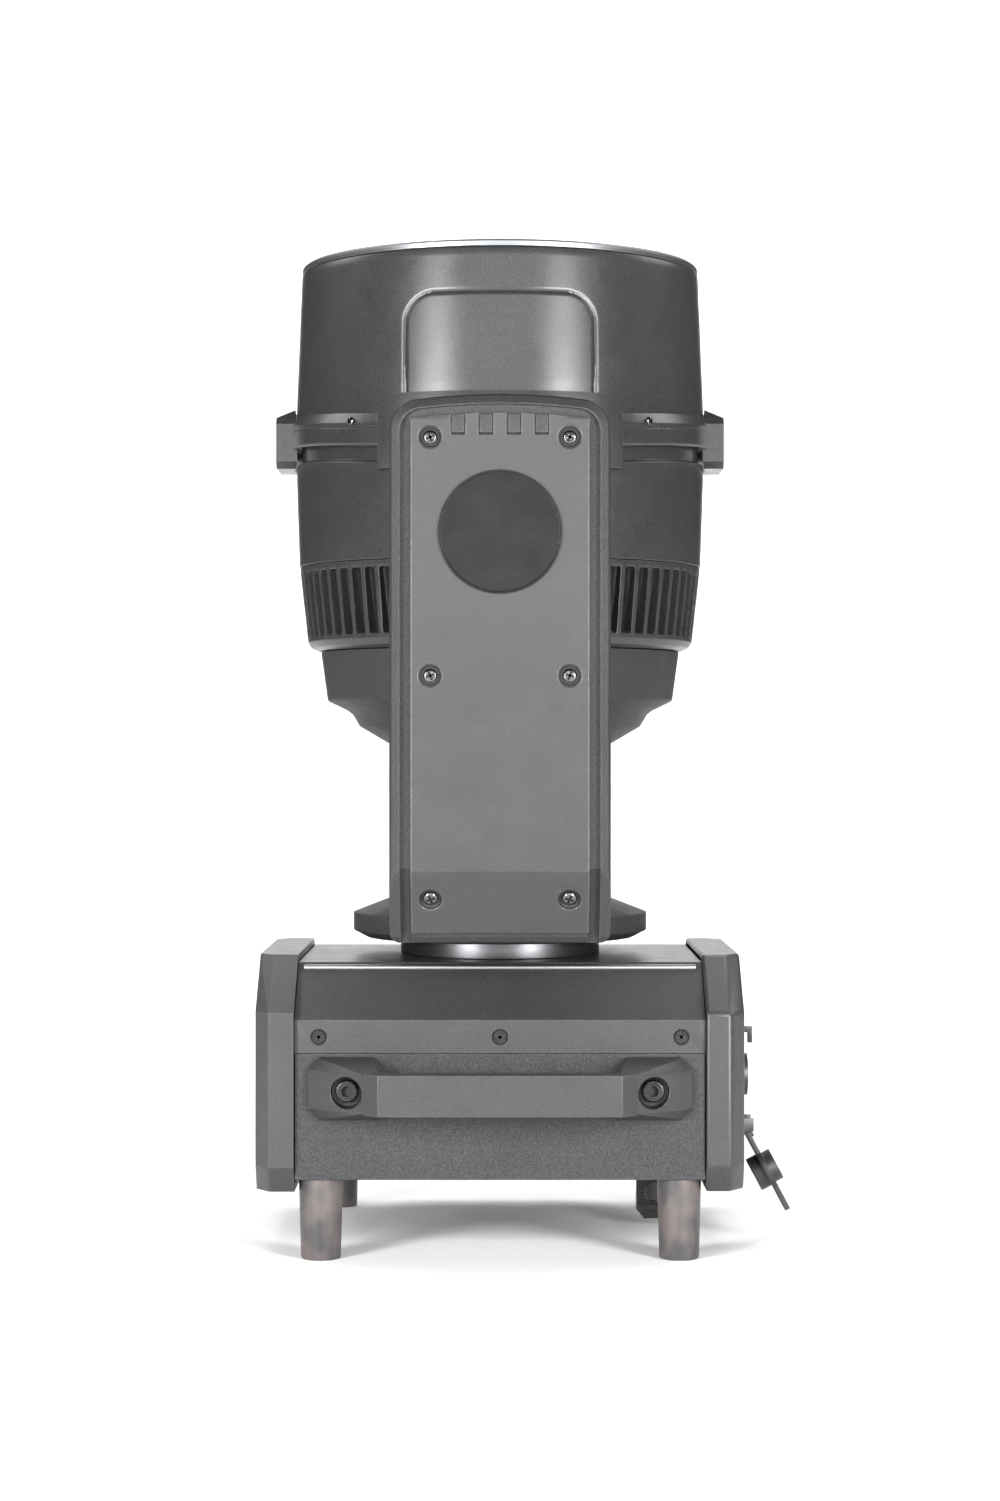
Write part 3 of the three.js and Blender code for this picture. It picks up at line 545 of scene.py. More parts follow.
def pan_head(radius, height):
    """A cross-recessed pan head pointing along +Z, its seat at z = 0."""
    profile = [(0, 0), (radius, 0), (radius, height * 0.35), (radius * 0.93, height * 0.68),
               (radius * 0.72, height * 0.9), (radius * 0.4, height), (0, height)]
    head = turned("pan_head", fillet(profile, radius * 0.2), SCREW_STEEL, 40, closed=False)
    recess = moved(cross_recess(radius * 0.66, height * 0.62), Matrix.Translation((0, 0, height)))
    # Painted shadow in the bottom of the cross recess.
    floor = painted_shadow_cross(radius * 0.68, height * 0.1, height * 0.5)
    return merged("pan_head", [smooth(cut(head, recess)), floor])


def seated_screw(radius, height, seat):
    """A pan head on a near-black ring of painted shadow that fills the bottom of its recess."""
    ring = [(radius * 0.5, 0), (seat, 0), (seat, height * 0.5), (seat - height * 0.25, height * 0.5),
            (radius * 1.2, height * 0.12), (radius * 0.5, height * 0.12)]
    # Painted shadow: a near-black ring in the bottom of the recess round the head.
    painted_shadow_washer = turned("painted_shadow_washer", ring, PAINTED_SHADOW, 48)
    return merged("seated_screw", [pan_head(radius, height), painted_shadow_washer])


def flat_head(radius, depth):
    """A cross-recessed countersunk head, flush at z = 0, in a near-black cone of painted shadow, with
    painted shadow in the bottom of its cross recess.
    """
    profile = [(0, -depth), (radius * 0.5, -depth), (radius * 0.86, -depth * 0.25),
               (radius * 0.86, 0), (0, 0)]
    head = turned("flat_head", profile, BLACK_STEEL, 40, closed=False)
    seat = [(radius * 0.4, -depth), (radius * 1.08, -depth * 0.3), (radius * 1.08, -depth * 0.2),
            (radius * 0.4, -depth * 0.8)]
    # Painted shadow: a near-black cone round the head, where its seat lies in shade.
    shadow = turned("seat", seat, PAINTED_SHADOW, 40)
    # Painted shadow in the bottom of the cross recess.
    cross = painted_shadow_cross(radius * 0.7, -depth * 0.9, -depth * 0.3)
    recess = cross_recess(radius * 0.66, depth * 0.8)
    return merged("flat_head", [smooth(cut(head, recess)), cross, shadow])


def socket_head(radius, height, key):
    """A hexagon socket head pointing along +Z, with painted shadow at the bottom of its key."""
    profile = [(0, 0), (radius, 0), (radius, height), (0, height)]
    head = turned("socket_head", fillet(profile, radius * 0.14), BLACK_STEEL, 56, closed=False)
    cut(head, rod("key", key, height * 0.45, height * 1.2, "z", (0, 0), BLACK_STEEL, 6))
    # Painted shadow: a near-black hexagon at the bottom of the key.
    floor = rod("painted_key_shadow", key * 1.02, height * 0.3, height * 0.5, "z", (0, 0), PAINTED_SHADOW, 6)
    return merged("socket_head", [smooth(head), floor])


def set_in(template, place, direction, turn=0.0):
    """A copy of a screw at a place, its head facing a direction."""
    made = bpy.data.objects.new("screw", template.data.copy())
    bpy.context.scene.collection.objects.link(made)
    facing = Vector(direction).to_track_quat("Z", "Y").to_matrix().to_4x4()
    return moved(made, Matrix.Translation(place) @ facing @ Matrix.Rotation(turn, 4, "Z"))


def screw_set(name, template, spots):
    """One object of copies at (place, direction, turn). The template is removed."""
    heads = [set_in(template, *spot) for spot in spots]
    bpy.data.objects.remove(template)
    return merged(name, heads)


# ---- Base ----

# Lengths in these tables are in millimetres.
FACE_SCREWS = {"x": (-110.5, 0.0, 110.5), "y": 123.0, "z": 87.0, "radius": 4.6, "depth": 3.2}
SCREW_RELIEF = 0.25  # how far the heads of the face screws lie below the face
BOLT = {"x": 92.6, "z": 55.6, "radius": 6.6, "seat": 130.8, "height": 7.0, "key": 3.6}
STRIP = {"radius": 1.9, "y": 86.6, "z": 126.8, "end_gap": 3.5}
DISPLAY = {"border": 3.0, "corner": 2.0, "proud": 1.0, "sunk": 0.2}
CONTACT = {"circle": 4.6, "radius": 0.9, "low": 135.5, "high": 146.5}
SOCKET_SCREW = {"radius": 2.2, "height": 1.3, "offset": 12.2, "seat": 152.35}
SOCKET_AXIS = 15.0  # height of a socket's axis over its flange's lower edge
FOOT = {"narrow": 12.2, "pocket": 4.0, "pocket_wall": 4.6, "lip": 1.0, "round": 1.6}
PAN_RING = {"bore": 30.8, "drop": 1.8, "inset": 1.6, "round": 0.5}


def mm(points):
    return [tuple(MM * value for value in point) for point in points]


def both_ends(make):
    """Runs a maker for the front (-Y), and for the rear with a half turn."""
    for end, turn in (("front", Matrix.Identity(4)), ("rear", HALF_TURN)):
        make(end, turn)


def screw_sinks(direction):
    """Conical seats for the countersunk screws of one long side."""
    made = []
    radius, depth = FACE_SCREWS["radius"] * MM, FACE_SCREWS["depth"] * MM
    for x in FACE_SCREWS["x"]:
        seat = [(0, -depth), (radius * 0.5, -depth), (radius * 1.12, 0), (radius * 1.12, depth), (0, depth)]
        cone = turned("seat", seat, BASE_COAT, 48, closed=False)
        place = Matrix.Translation((x * MM, direction * FACE_SCREWS["y"] * MM, FACE_SCREWS["z"] * MM))
        made.append(moved(cone, place @ Matrix.Rotation(math.radians(-90 * direction), 4, "X")))
    return made


def casing():
    """Tray, top cover with its countersunk screws, and both end caps."""
    refined("base_tray", 0.0007, material=SHADED_TRAY_COAT)
    refined("top_cover", 0.0016, 4, 20.0, BASE_COAT, screw_sinks(-1) + screw_sinks(1))
    template = flat_head(FACE_SCREWS["radius"] * MM, FACE_SCREWS["depth"] * MM * 0.8)
    spots = []
    for direction in (-1, 1):
        y = direction * (FACE_SCREWS["y"] - SCREW_RELIEF) * MM
        for k, x in enumerate(FACE_SCREWS["x"]):
            spots.append(((x * MM, y, FACE_SCREWS["z"] * MM), (0, direction, 0), 0.5 + 0.6 * k))
    attach(screw_set("casing_screws", template, spots), "top_cover")
    for node in ("end_cap_display", "end_cap_connector"):
        refined(node, 0.0020, 4, 12.0, BASE_COAT)


def rolled_edges():
    """A rolled strip along each long upper edge of the top cover, in a light metal finish as a painted
    highlight along that edge.
    """
    half_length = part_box("base_tray")[1][0] - STRIP["end_gap"] * MM
    for side in (-1, 1):
        centre = (side * STRIP["y"] * MM, STRIP["z"] * MM)
        # The light metal finish stands in for the highlight that the rounded edge catches: painted
        # highlight.
        radius, material = STRIP["radius"] * MM, MATERIALS["bezel_metal"]
        strip = rod("strip", radius, -half_length, half_length, "x", centre, material, 32)
        bevel(strip, 0.0005, 3, 40.0)
        strip.name = "top_cover_highlight_strip_%s" % ("front" if side < 0 else "rear")
        attach(strip, "top_cover")


def menu_button(node):
    low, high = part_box(node)
    radius = (high[1] - low[1]) / 2
    length = high[0] - low[0]
    profile = fillet([(0, 0), (radius, 0), (radius, length), (0, length)], radius * 0.3)
    key = turned(node + "_cap", profile, PLASTIC, 40, closed=False)
    place = Matrix.Translation((high[0], (low[1] + high[1]) / 2, (low[2] + high[2]) / 2))
    settle(moved(key, place @ Matrix.Rotation(-QUARTER, 4, "Y")), node)


def display():
    """The window in its frame, with the glass over it, and the four buttons."""
    refined("display_window", 0.0006)
    for k in range(1, 5):
        menu_button("menu_button_%d" % k)
    low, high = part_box("display_window")
    border = DISPLAY["border"] * MM
    half = (high[1] - low[1]) / 2 - border
    outline = rounded_outline(half, low[2] + border, high[2] - border, DISPLAY["corner"] * MM)
    back, front = low[0] - DISPLAY["sunk"] * MM, low[0] + DISPLAY["proud"] * MM
    glass = prism("display_glass", outline, back, front, "x", MATERIALS["clear_glass"])
    attach(bevel(glass, 0.0001, 2), "display_window")


def socket_contacts(node, y, z):
    """A circle of contact pins, three for power and five for data."""
    pins = []
    count = 3 if node == "power_inlet" else 5
    circle, radius, low, high = (CONTACT[key] * MM for key in ("circle", "radius", "low", "high"))
    for k in range(count):
        turn = 2 * math.pi * k / count + QUARTER
        spot = (y + circle * math.cos(turn), z + circle * math.sin(turn))
        pin = rod("pin", radius, low, high, "x", spot, MATERIALS["steel"], 16)
        pins.append(bevel(pin, 0.0003, 2))
    attach(merged(node + "_contacts", pins), node)


def socket_screws(node, y, z):
    """Two pan heads in opposite corners of a socket's flange."""
    template = pan_head(SOCKET_SCREW["radius"] * MM, SOCKET_SCREW["height"] * MM)
    seat, spots = SOCKET_SCREW["seat"] * MM, []
    for side in (-1, 1):
        offset = side * SOCKET_SCREW["offset"] * MM
        spots.append(((seat, y + offset, z + offset), (1, 0, 0), 0.4 * side))
    attach(screw_set(node + "_screws", template, spots), node)


def sockets():
    """The three sockets on the connector side, and the power inlet's sealing flap."""
    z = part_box("data_inlet")[0][2] + SOCKET_AXIS * MM
    for node in ("data_inlet", "data_outlet", "power_inlet"):
        refined(node, 0.0005, 2)
        low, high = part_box(node)
        y = (low[1] + high[1]) / 2
        socket_contacts(node, y, z)
        socket_screws(node, y, z)
    refined("power_inlet_flap", 0.0008, 3, material=PLASTIC)


def handle(end, turn):
    refined("handle_" + end, 0.0028, 5, 20.0, BASE_COAT)
    template = socket_head(BOLT["radius"] * MM, BOLT["height"] * MM, BOLT["key"] * MM)
    for hand, side in (("left", -1), ("right", 1)):
        place = turn @ Vector((side * BOLT["x"] * MM, -BOLT["seat"] * MM, BOLT["z"] * MM))
        node = "handle_bolt_%s_%s" % (end, hand)
        bolt = set_in(template, place, turn @ Vector((0, -1, 0)), 0.3 * side)
        bolt.name = node + "_head"
        settle(smooth(bolt), node)
    bpy.data.objects.remove(template)


def foot(node):
    """A tapered rubber foot with a pocket in its sole."""
    low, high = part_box(node)
    centre = ((low[0] + high[0]) / 2, (low[1] + high[1]) / 2)
    wide, narrow = (high[0] - low[0]) / 2, FOOT["narrow"] * MM
    pocket, pocket_wall = FOOT["pocket"] * MM, FOOT["pocket_wall"] * MM
    profile = [(0, low[2] + pocket), (pocket, low[2] + pocket), (pocket_wall, low[2]), (narrow, low[2]),
               (wide, high[2] - FOOT["lip"] * MM), (wide, high[2]), (0, high[2])]
    profile = fillet(profile, FOOT["round"] * MM)
    settle(turned(node + "_rubber", profile, MATERIALS["rubber"], 72, False, centre), node)


def underside():
    for end in ("front", "rear"):
        for hand in ("left", "right"):
            foot("foot_%s_%s" % (end, hand))
    refined("safety_eye", 0.0012, material=BLACK_STEEL)


def pan_ring():
    low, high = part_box("pan_ring")
    bore, outer = PAN_RING["bore"] * MM, high[0]
    profile = [(bore, low[2]), (outer, low[2]), (outer, high[2] - PAN_RING["drop"] * MM),
               (outer - PAN_RING["inset"] * MM, high[2]), (bore, high[2])]
    profile = fillet(profile, PAN_RING["round"] * MM, 3)
    settle(turned("pan_ring_turned", profile, MATERIALS["brushed_dark"]), "pan_ring")


casing()
rolled_edges()
display()
sockets()
both_ends(handle)
underside()
pan_ring()


# ---- Yoke ----

ARM = {"face": 174.7, "half_width": 66.0, "top": 474.0, "bend": 191.0, "foot": (150.0, 146.0)}
COVER = {"face": 178.0, "half_width": 53.0, "top": 461.7, "corner": (178.0, 190.16)}
# The slope below the bend, as (distance from the pan axis, height): along it, and away from the arm.
SLOPE = Vector((ARM["foot"][0] - ARM["face"], ARM["foot"][1] - ARM["bend"])).normalized()
SLOPE_AWAY = Vector((-SLOPE[1], SLOPE[0]))
RIM = 6.5  # width of the arm's raised edge
CROWN = {"drop": 3.15, "rise": 2.8, "radius": 19.0, "low": 120.0, "turn": 0.46 * math.pi}
GROOVE = {"depth": 3.2, "foot": 60.0, "top": 490.0, "low": 160.0, "outside": -190.0, "behind": 40.0,
          "half_width": 80.0}
ARM_DEPTH = (-0.2, -0.1)  # metres on Y that hold the front arm's outer face
OVERRUN = 0.01  # metres by which a cutting tool passes what it cuts
COVER_CORE = {"side": 0.6, "low": 100.0, "corner": 4.4, "top": 1.0, "crown": 3.4}
COVER_SCREWS = ((41.3, 447.0), (41.3, 306.0), (41.3, 173.0))  # distance from the middle, height
SCREW_SINK = {"radius": 6.8, "depth": 2.7, "head": 4.3, "height": 2.5, "painted_shadow_washer": 0.985, "out": 4.0}
COVER_CUTS = ((0, 0.0), (0, 30.0), (0, -30.0), (2, 240.0), (2, 380.0), (2, 425.0))
BADGE = {"proud": 0.25, "rim": 1.0, "step": 1.5, "drop": 0.35, "round": 0.35, "over_arm": 5.1}


def face_point(height, face, corner):
    """Distance from the pan axis and facing of the arm's outer face at a height."""
    if height > corner[1]:
        return face, Vector((0, -1, 0))
    along = (corner[1] - height) / -SLOPE[1]
    return corner[0] + SLOPE[0] * along, Vector((0, -SLOPE_AWAY[0], SLOPE_AWAY[1]))


def arm_view(inset, corner_steps=12, crown_steps=16):
    """Front view of an arm, drawn in by an inset, with its crowned top."""
    half = ARM["half_width"] - inset
    top = ARM["top"] - CROWN["drop"] - inset
    r = CROWN["radius"] - inset * 0.8
    right = [(half, CROWN["low"]), (half, top - r)]
    turns = [CROWN["turn"] * k / corner_steps for k in range(1, corner_steps + 1)]
    right += [(half - r + r * math.cos(t), top - r + r * math.sin(t)) for t in turns]
    across = [(half - r) * (1 - 2 * k / crown_steps) for k in range(1, crown_steps)]
    crown = [(x, top + CROWN["rise"] * (1 - (x / (half - r)) ** 2)) for x in across]
    return right + crown + [(-x, z) for x, z in reversed(right)]


def cover_core():
    """What the groove leaves standing behind the arm cover."""
    half, top = COVER["half_width"], COVER["top"]
    side = half - COVER_CORE["side"]
    right = [(side, COVER_CORE["low"]), (side, top - COVER_CORE["corner"])]
    across = (40.0, 20.0, 0.0, -20.0, -40.0)
    crown = [(x, top - COVER_CORE["top"] - COVER_CORE["crown"] * (x / half) ** 2) for x in across]
    outline = right + crown + [(-x, z) for x, z in reversed(right)]
    return prism("core", mm(outline), ARM_DEPTH[0] - OVERRUN, ARM_DEPTH[1] + OVERRUN, "y", BASE_COAT)


def groove_tool(turn):
    """The channel between the arm's raised rim and its cover."""
    depth, outside = GROOVE["depth"], GROOVE["outside"]
    outer = -(ARM["face"] - depth)
    start = Vector((ARM["face"], ARM["bend"])) - SLOPE_AWAY * depth
    bend = start + SLOPE * ((ARM["face"] - depth - start[0]) / SLOPE[0])
    end = bend + SLOPE * GROOVE["foot"]
    side = [(outer, GROOVE["top"]), (-bend[0], bend[1]), (-end[0], end[1]),
            (-end[0] - GROOVE["behind"], end[1]), (outside, GROOVE["low"]), (outside, GROOVE["top"])]
    half = GROOVE["half_width"] * MM
    slab = prism("slab", mm(side), -half, half, "x", BASE_COAT)
    keep = prism("keep", mm(arm_view(RIM)), *ARM_DEPTH, "y", BASE_COAT)
    return moved(cut(trim(slab, keep), cover_core()), turn)


def casting():
    """The casting with a groove round each arm cover, and the round cover under it."""
    grooves = [groove_tool(Matrix.Identity(4)), groove_tool(HALF_TURN)]
    refined("yoke_frame", 0.0016, 4, 24.0, YOKE_PAINT, grooves)
    refined("yoke_base_cover", 0.0008, 3, 22.0, MATT_PAINT)


def cover_screws():
    """Places and facings of one cover's six screws, in the front arm's frame."""
    made = []
    for x, height in COVER_SCREWS:
        distance, facing = face_point(height, COVER["face"], COVER["corner"])
        for side in (-1, 1):
            made.append((Vector((side * x, -distance, height)) * MM, facing))
    return made


def dress_arm(end, turn):
    """One arm's cover with its sunk screws, and its badge."""
    tools, spots = [], []
    radius, depth, head, height, out = (
        SCREW_SINK[key] * MM for key in ("radius", "depth", "head", "height", "out"))
    template = seated_screw(head, height, radius * SCREW_SINK["painted_shadow_washer"])
    for k, (place, facing) in enumerate(cover_screws()):
        sink = rod("sink", radius, -depth, out, "z", (0, 0), SCREW_STEEL)
        outward = facing.to_track_quat("Z", "Y").to_matrix().to_4x4()
        tools.append(moved(sink, turn @ Matrix.Translation(place) @ outward))
        seat = turn @ (place - facing * SCREW_SINK["depth"] * MM)
        spots.append((seat, turn @ facing, 0.35 + 0.8 * k))
    node = "arm_cover_" + end
    cover = divided(copy_of(node, "arm_cover_fine_" + end, MATERIALS["arm_panel"]), *COVER_CUTS)
    settle(bevel(cut(cover, *tools), 0.0006, 3, 24.0), node)
    attach(screw_set("arm_cover_screws_" + end, template, spots), node)
    badge(end, turn)


def badge(end, turn):
    """A plain glossy disc with a low raised rim."""
    node = "arm_badge_" + end
    low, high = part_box(node)
    radius = (high[0] - low[0]) / 2
    proud, drop = BADGE["proud"] * MM, BADGE["drop"] * MM
    thick = high[1] - low[1] + proud
    profile = [(0, 0), (radius, 0), (radius, thick), (radius - BADGE["rim"] * MM, thick),
               (radius - BADGE["step"] * MM, thick - drop), (0, thick - proud)]
    profile = fillet(profile, BADGE["round"] * MM, 3)
    disc = turned(node + "_disc", profile, MATERIALS["gloss_black"], closed=False)
    face = (ARM["face"] + BADGE["over_arm"]) * MM
    stand = Matrix.Translation((0, -face + thick, TILT_Z)) @ Matrix.Rotation(QUARTER, 4, "X")
    settle(moved(disc, turn @ stand), node)


casting()
both_ends(dress_arm)


# ---- Head ----

# Heights on the head are in millimetres over the tilt axis.
PAD = {"half_width": 58.0, "low": 60.0, "top": 150.0, "radius": 18.0, "raise": 0.5, "groove": 0.8,
       "width": 1.0}
SEAM = 67.0  # joint of hood and lower shell
HOOD = ((132.2, SEAM), (131.6, 95.0), (128.2, 177.2))  # (radius, height) up the outer wall
HOOD_WALL = 3.0
HOOD_LIP = [(127.9, 176.8), (127.2, 177.2), (125.6, 177.2), (125.2, 176.8), (125.2, 171.7),
            (112.0, 171.7), (112.0, 168.5), (125.2, 168.5)]
HOOD_STEP = {"fine": 0.4, "coarse": 2.0}  # degrees between columns, at the pad's edges and elsewhere
COLLAR = {"inner": 132.7, "outer": 135.8, "bottom": 64.0, "top": 84.0, "sag": 9.5, "seam": 11.0}
COLLAR_SCREW = {"x": 92.0, "z": 79.0, "radius": 2.6, "height": 1.6, "sunk": 0.4}
SIDE_LUG = {"reach": 143.7, "half_width": 30.0, "hole": 1.5, "hole_z": 56.5}
SIDE_LUG_VIEW = [(22, 51.5), (26, 56), (26, 80), (18, 90), (-18, 90), (-26, 80), (-26, 56), (-22, 51.5)]
SIDE_LUG_SLANT = [(130, 90.5), (144, 84), (144, 91)]
END_LUG_VIEW = [(75, 43), (75, 76), (73, 81), (69, 85.5), (61, 88.5)]
END_LUG_RADIUS = 138.2
SIDE_LUG_ROOT = 0.1  # metres from the axis, inside the band
END_LUG_SPAN = (0.06, 0.15)
LUG_HEIGHTS = (0.42, 0.50)  # metres over the ground plane that hold the lugs
COLLAR_HEIGHTS = (0.40, 0.52)
SHELL = [(126.8, 30), (126.8, SEAM - 0.3), (128.6, SEAM - 0.3), (128.4, 55.4), (131.5, 54.2),
         (131.7, 46), (131.3, 30), (129.8, -11.4), (126.8, -11.4)]
SHELL_DIP = {"none": 20.0, "ramp": 18.0}  # height where the dip begins, and over which it grows to full
TRUNNION_HOLE = {"radius": 10.8, "half_length": 160.0}
VENT = {"slots": 70, "width": 8.0, "low": -57.0, "high": -16.0, "corner": 1.6, "inner": 112.0,
        "outer": 140.0}
VENT_WALL = [(127.3, -11.7), (129.6, -11.7), (127.6, -31), (125.9, -46), (124.4, -59.7), (122.2, -63.4),
             (117.7, -65.5), (113.8, -65.5), (117.2, -57), (120.8, -40), (125.6, -11.7)]
VENT_LINING = [(112.5, -58), (118.5, -15), (117.5, -15), (111.5, -58)]
REAR_WALL = [(0, -129), (62, -129, 3), (73.5, -124.3, 3), (91, -114, 3), (96.2, -105, 3),
             (111.7, -97.6, 3), (116, -66), (113, -66), (108.9, -95.6), (88.6, -112), (61.4, -126),
             (0, -126)]
BEZEL = [(119, 177.5), (128, 177.5), (128, 180.6), (126.8, 181.8), (114, 181.8), (110, 179.6),
         (110, 177.5), (119, 177.5)]
GLASS = [(0, 172), (124.4, 172), (124.4, 177), (0, 177)]


def up(points):
    """Head points, in millimetres about the tilt axis, in the row frame."""
    return [(p[0] * MM, p[1] * MM + TILT_Z, *[v * MM for v in p[2:]]) for p in points]


def hood_radius(z):
    """Radius of the hood's plain outer wall at a height."""
    for (r0, z0), (r1, z1) in zip(HOOD, HOOD[1:]):
        if z <= z1:
            return r0 + (r1 - r0) * (z - z0) / (z1 - z0)
    return HOOD[-1][0]


def pad_relief(x, z):
    """Height of the embossed pad and its edge groove over the hood's plain wall."""
    middle, half = (PAD["top"] + PAD["low"]) / 2, (PAD["top"] - PAD["low"]) / 2
    dx = abs(x) - PAD["half_width"] + PAD["radius"]
    dz = abs(z - middle) - half + PAD["radius"]
    outside = math.hypot(max(dx, 0), max(dz, 0)) + min(max(dx, dz), 0) - PAD["radius"]
    inside = min(max(-outside / (2 * PAD["width"]), 0.0), 1.0)
    step = inside * inside * (3 - 2 * inside)
    return PAD["raise"] * step - PAD["groove"] * math.exp(-((outside / PAD["width"]) ** 2))


def steps(low, high, size):
    """Even steps of about a size from low up to, and without, high."""
    count = max(1, round((high - low) / size))
    return [low + (high - low) * k / count for k in range(count)]


def hood():
    """The hood, with an embossed pad facing each arm."""
    half_circle = steps(-28, 28, HOOD_STEP["fine"]) + steps(28, 152, HOOD_STEP["coarse"])
    degrees = [middle + angle for middle in (90, 270) for angle in half_circle]
    heights = steps(SEAM, 80, 4) + steps(80, 155, 0.8) + steps(155, 176, 4) + [176.0]
    bm = bmesh.new()
    columns = []
    for angle in degrees:
        c, s = math.cos(math.radians(angle)), math.sin(math.radians(angle))
        section = [(hood_radius(z) + pad_relief(hood_radius(z) * c, z), z) for z in heights]
        section += HOOD_LIP + [(HOOD[0][0] - HOOD_WALL, SEAM)]
        columns.append([bm.verts.new((r * c * MM, r * s * MM, z * MM + TILT_Z)) for r, z in section])
    count = len(columns[0])
    for here, there in zip(columns, columns[1:] + columns[:1]):
        for k in range(count):
            n = (k + 1) % count
            bm.faces.new((here[k], there[k], there[n], here[n]))
    settle(smooth(from_bmesh("head_hood_shell", bm, SHELL_PAINT), 40), "head_hood")


def bezel_and_glass():
    for node, profile, radius in (("front_bezel", BEZEL, 0.5), ("front_glass", GLASS, 0.6)):
        profile = fillet(up(profile), radius * MM)
        settle(turned(node + "_turned", profile, MATERIALS[SLOT_OF[node]], closed=False), node)


def dip_to_arms(obj, share):
    """Lowers a round piece towards the two arms, by a share of the collar's dip at each height."""
    for vertex in obj.data.vertices:
        x, y, z = vertex.co
        dip = COLLAR["sag"] * MM * y * y / max(x * x + y * y, 1e-9)
        vertex.co.z = z - dip * share((z - TILT_Z) / MM)


def collar_band():
    """The band over the seam of hood and lower shell, with a fine groove round it."""
    inner, outer, bottom, top = (COLLAR[key] for key in ("inner", "outer", "bottom", "top"))
    seam = bottom + COLLAR["seam"]
    middle = (top + bottom) / 2
    profile = [(inner, middle), (inner, bottom), (outer - 0.8, bottom), (outer, bottom + 1.5),
               (outer, seam - 0.5), (outer - 0.9, seam), (outer - 0.3, seam + 0.5), (outer - 0.6, top - 6),
               (inner + 0.3, top), (inner, top), (inner, middle)]
    profile = fillet(profile, 0.5, 3)
    band = turned("head_collar_band", up(profile[:-1]), SHELL_PAINT, FINE_ROUND)
    dip_to_arms(band, lambda height: 1.0)
    return band


def side_lug(side):
    """A lug on the display (-1) or connector (1) side, with a slanted top and a fine hole."""
    low, high = sorted((side * SIDE_LUG_ROOT, side * SIDE_LUG["reach"] * MM))
    lug = prism("lug", up(SIDE_LUG_VIEW), low, high, "x", SHELL_PAINT)
    start, stop = low - OVERRUN, high + OVERRUN
    hole = rod("hole", SIDE_LUG["hole"] * MM, start, stop, "x", (0, 0), SHELL_PAINT, 24)
    half = SIDE_LUG["half_width"] * MM
    falling = [(side * x, z) for x, z in up(SIDE_LUG_SLANT)]
    slant = prism("slant", falling, -half, half, "y", SHELL_PAINT)
    lift = Matrix.Translation((0, 0, TILT_Z + SIDE_LUG["hole_z"] * MM))
    return cut(lug, moved(hole, lift), slant)


def end_lug(side):
    """A wide lug behind the front (-1) or rear (1) arm, trimmed to a round face."""
    low, high = sorted(side * end for end in END_LUG_SPAN)
    view = END_LUG_VIEW + [(-x, z) for x, z in reversed(END_LUG_VIEW)]
    lug = prism("lug", up(view), low, high, "y", SHELL_PAINT)
    radius = END_LUG_RADIUS * MM
    return trim(lug, rod("limit", radius, *LUG_HEIGHTS, "z", (0, 0), SHELL_PAINT, FINE_ROUND))


def collar_screws():
    template = pan_head(COLLAR_SCREW["radius"] * MM, COLLAR_SCREW["height"] * MM)
    spots = []
    for side in (-1, 1):
        for x in (-COLLAR_SCREW["x"], COLLAR_SCREW["x"]):
            y = math.sqrt(COLLAR["outer"] ** 2 - x * x) * side
            sag = COLLAR["sag"] * y * y / COLLAR["outer"] ** 2
            out = Vector((x, y, 0)).normalized()
            seat = Vector((x, y, COLLAR_SCREW["z"] - sag + TILT_Z / MM)) * MM
            spots.append((seat - out * COLLAR_SCREW["sunk"] * MM, out, 0.6))
    attach(screw_set("head_collar_screws", template, spots), "head_collar")


def collar():
    band = collar_band()
    radius = COLLAR["inner"] * MM
    core = rod("core", radius, *COLLAR_HEIGHTS, "z", (0, 0), SHELL_PAINT, FINE_ROUND)
    join_to(band, side_lug(1), side_lug(-1), end_lug(1), end_lug(-1))
    settle(bevel(cut(band, core), 0.0012, 3, 30.0), "head_collar")
    collar_screws()


def lower_shell():
    """The shell below the collar. The groove under the collar runs along with the collar's dip."""
    shell = turned("head_lower_shell_turned", fillet(up(SHELL), 0.7 * MM, 3), SHELL_PAINT)
    start, ramp = SHELL_DIP["none"], SHELL_DIP["ramp"]
    dip_to_arms(shell, lambda height: min(max((height - start) / ramp, 0.0), 1.0))
    radius, reach = TRUNNION_HOLE["radius"] * MM, TRUNNION_HOLE["half_length"] * MM
    hole = rod("hole", radius, -reach, reach, "y", (0, TILT_Z), SHELL_PAINT, 64)
    settle(smooth(cut(shell, hole)), "head_lower_shell")


def vent_ring():
    ring = turned("head_vent_ring_turned", fillet(up(VENT_WALL), 1.2 * MM, 3), SHELL_PAINT, 280)
    half, corner = VENT["width"] / 2 * MM, VENT["corner"] * MM
    low, high = VENT["low"] * MM + TILT_Z, VENT["high"] * MM + TILT_Z
    outline = rounded_outline(half, low, high, corner, 3)
    inner, outer = VENT["inner"] * MM, VENT["outer"] * MM
    slots = []
    for k in range(VENT["slots"]):
        slot = prism("slot", outline, inner, outer, "y", SHELL_PAINT)
        slots.append(moved(slot, Matrix.Rotation(2 * math.pi * (k + 0.5) / VENT["slots"], 4, "Z")))
    cut(ring, merged("slots", slots))
    settle(bevel(ring, 0.0004, 2, 50.0), "head_vent_ring")
    lining = turned("head_vent_filter", up(VENT_LINING), PLASTIC)
    attach(lining, "head_vent_ring")


def rear_cover():
    profile = fillet(up(REAR_WALL), 0.8 * MM)
    settle(turned("head_rear_cover_turned", profile, MATT_PAINT, closed=False), "head_rear_cover")


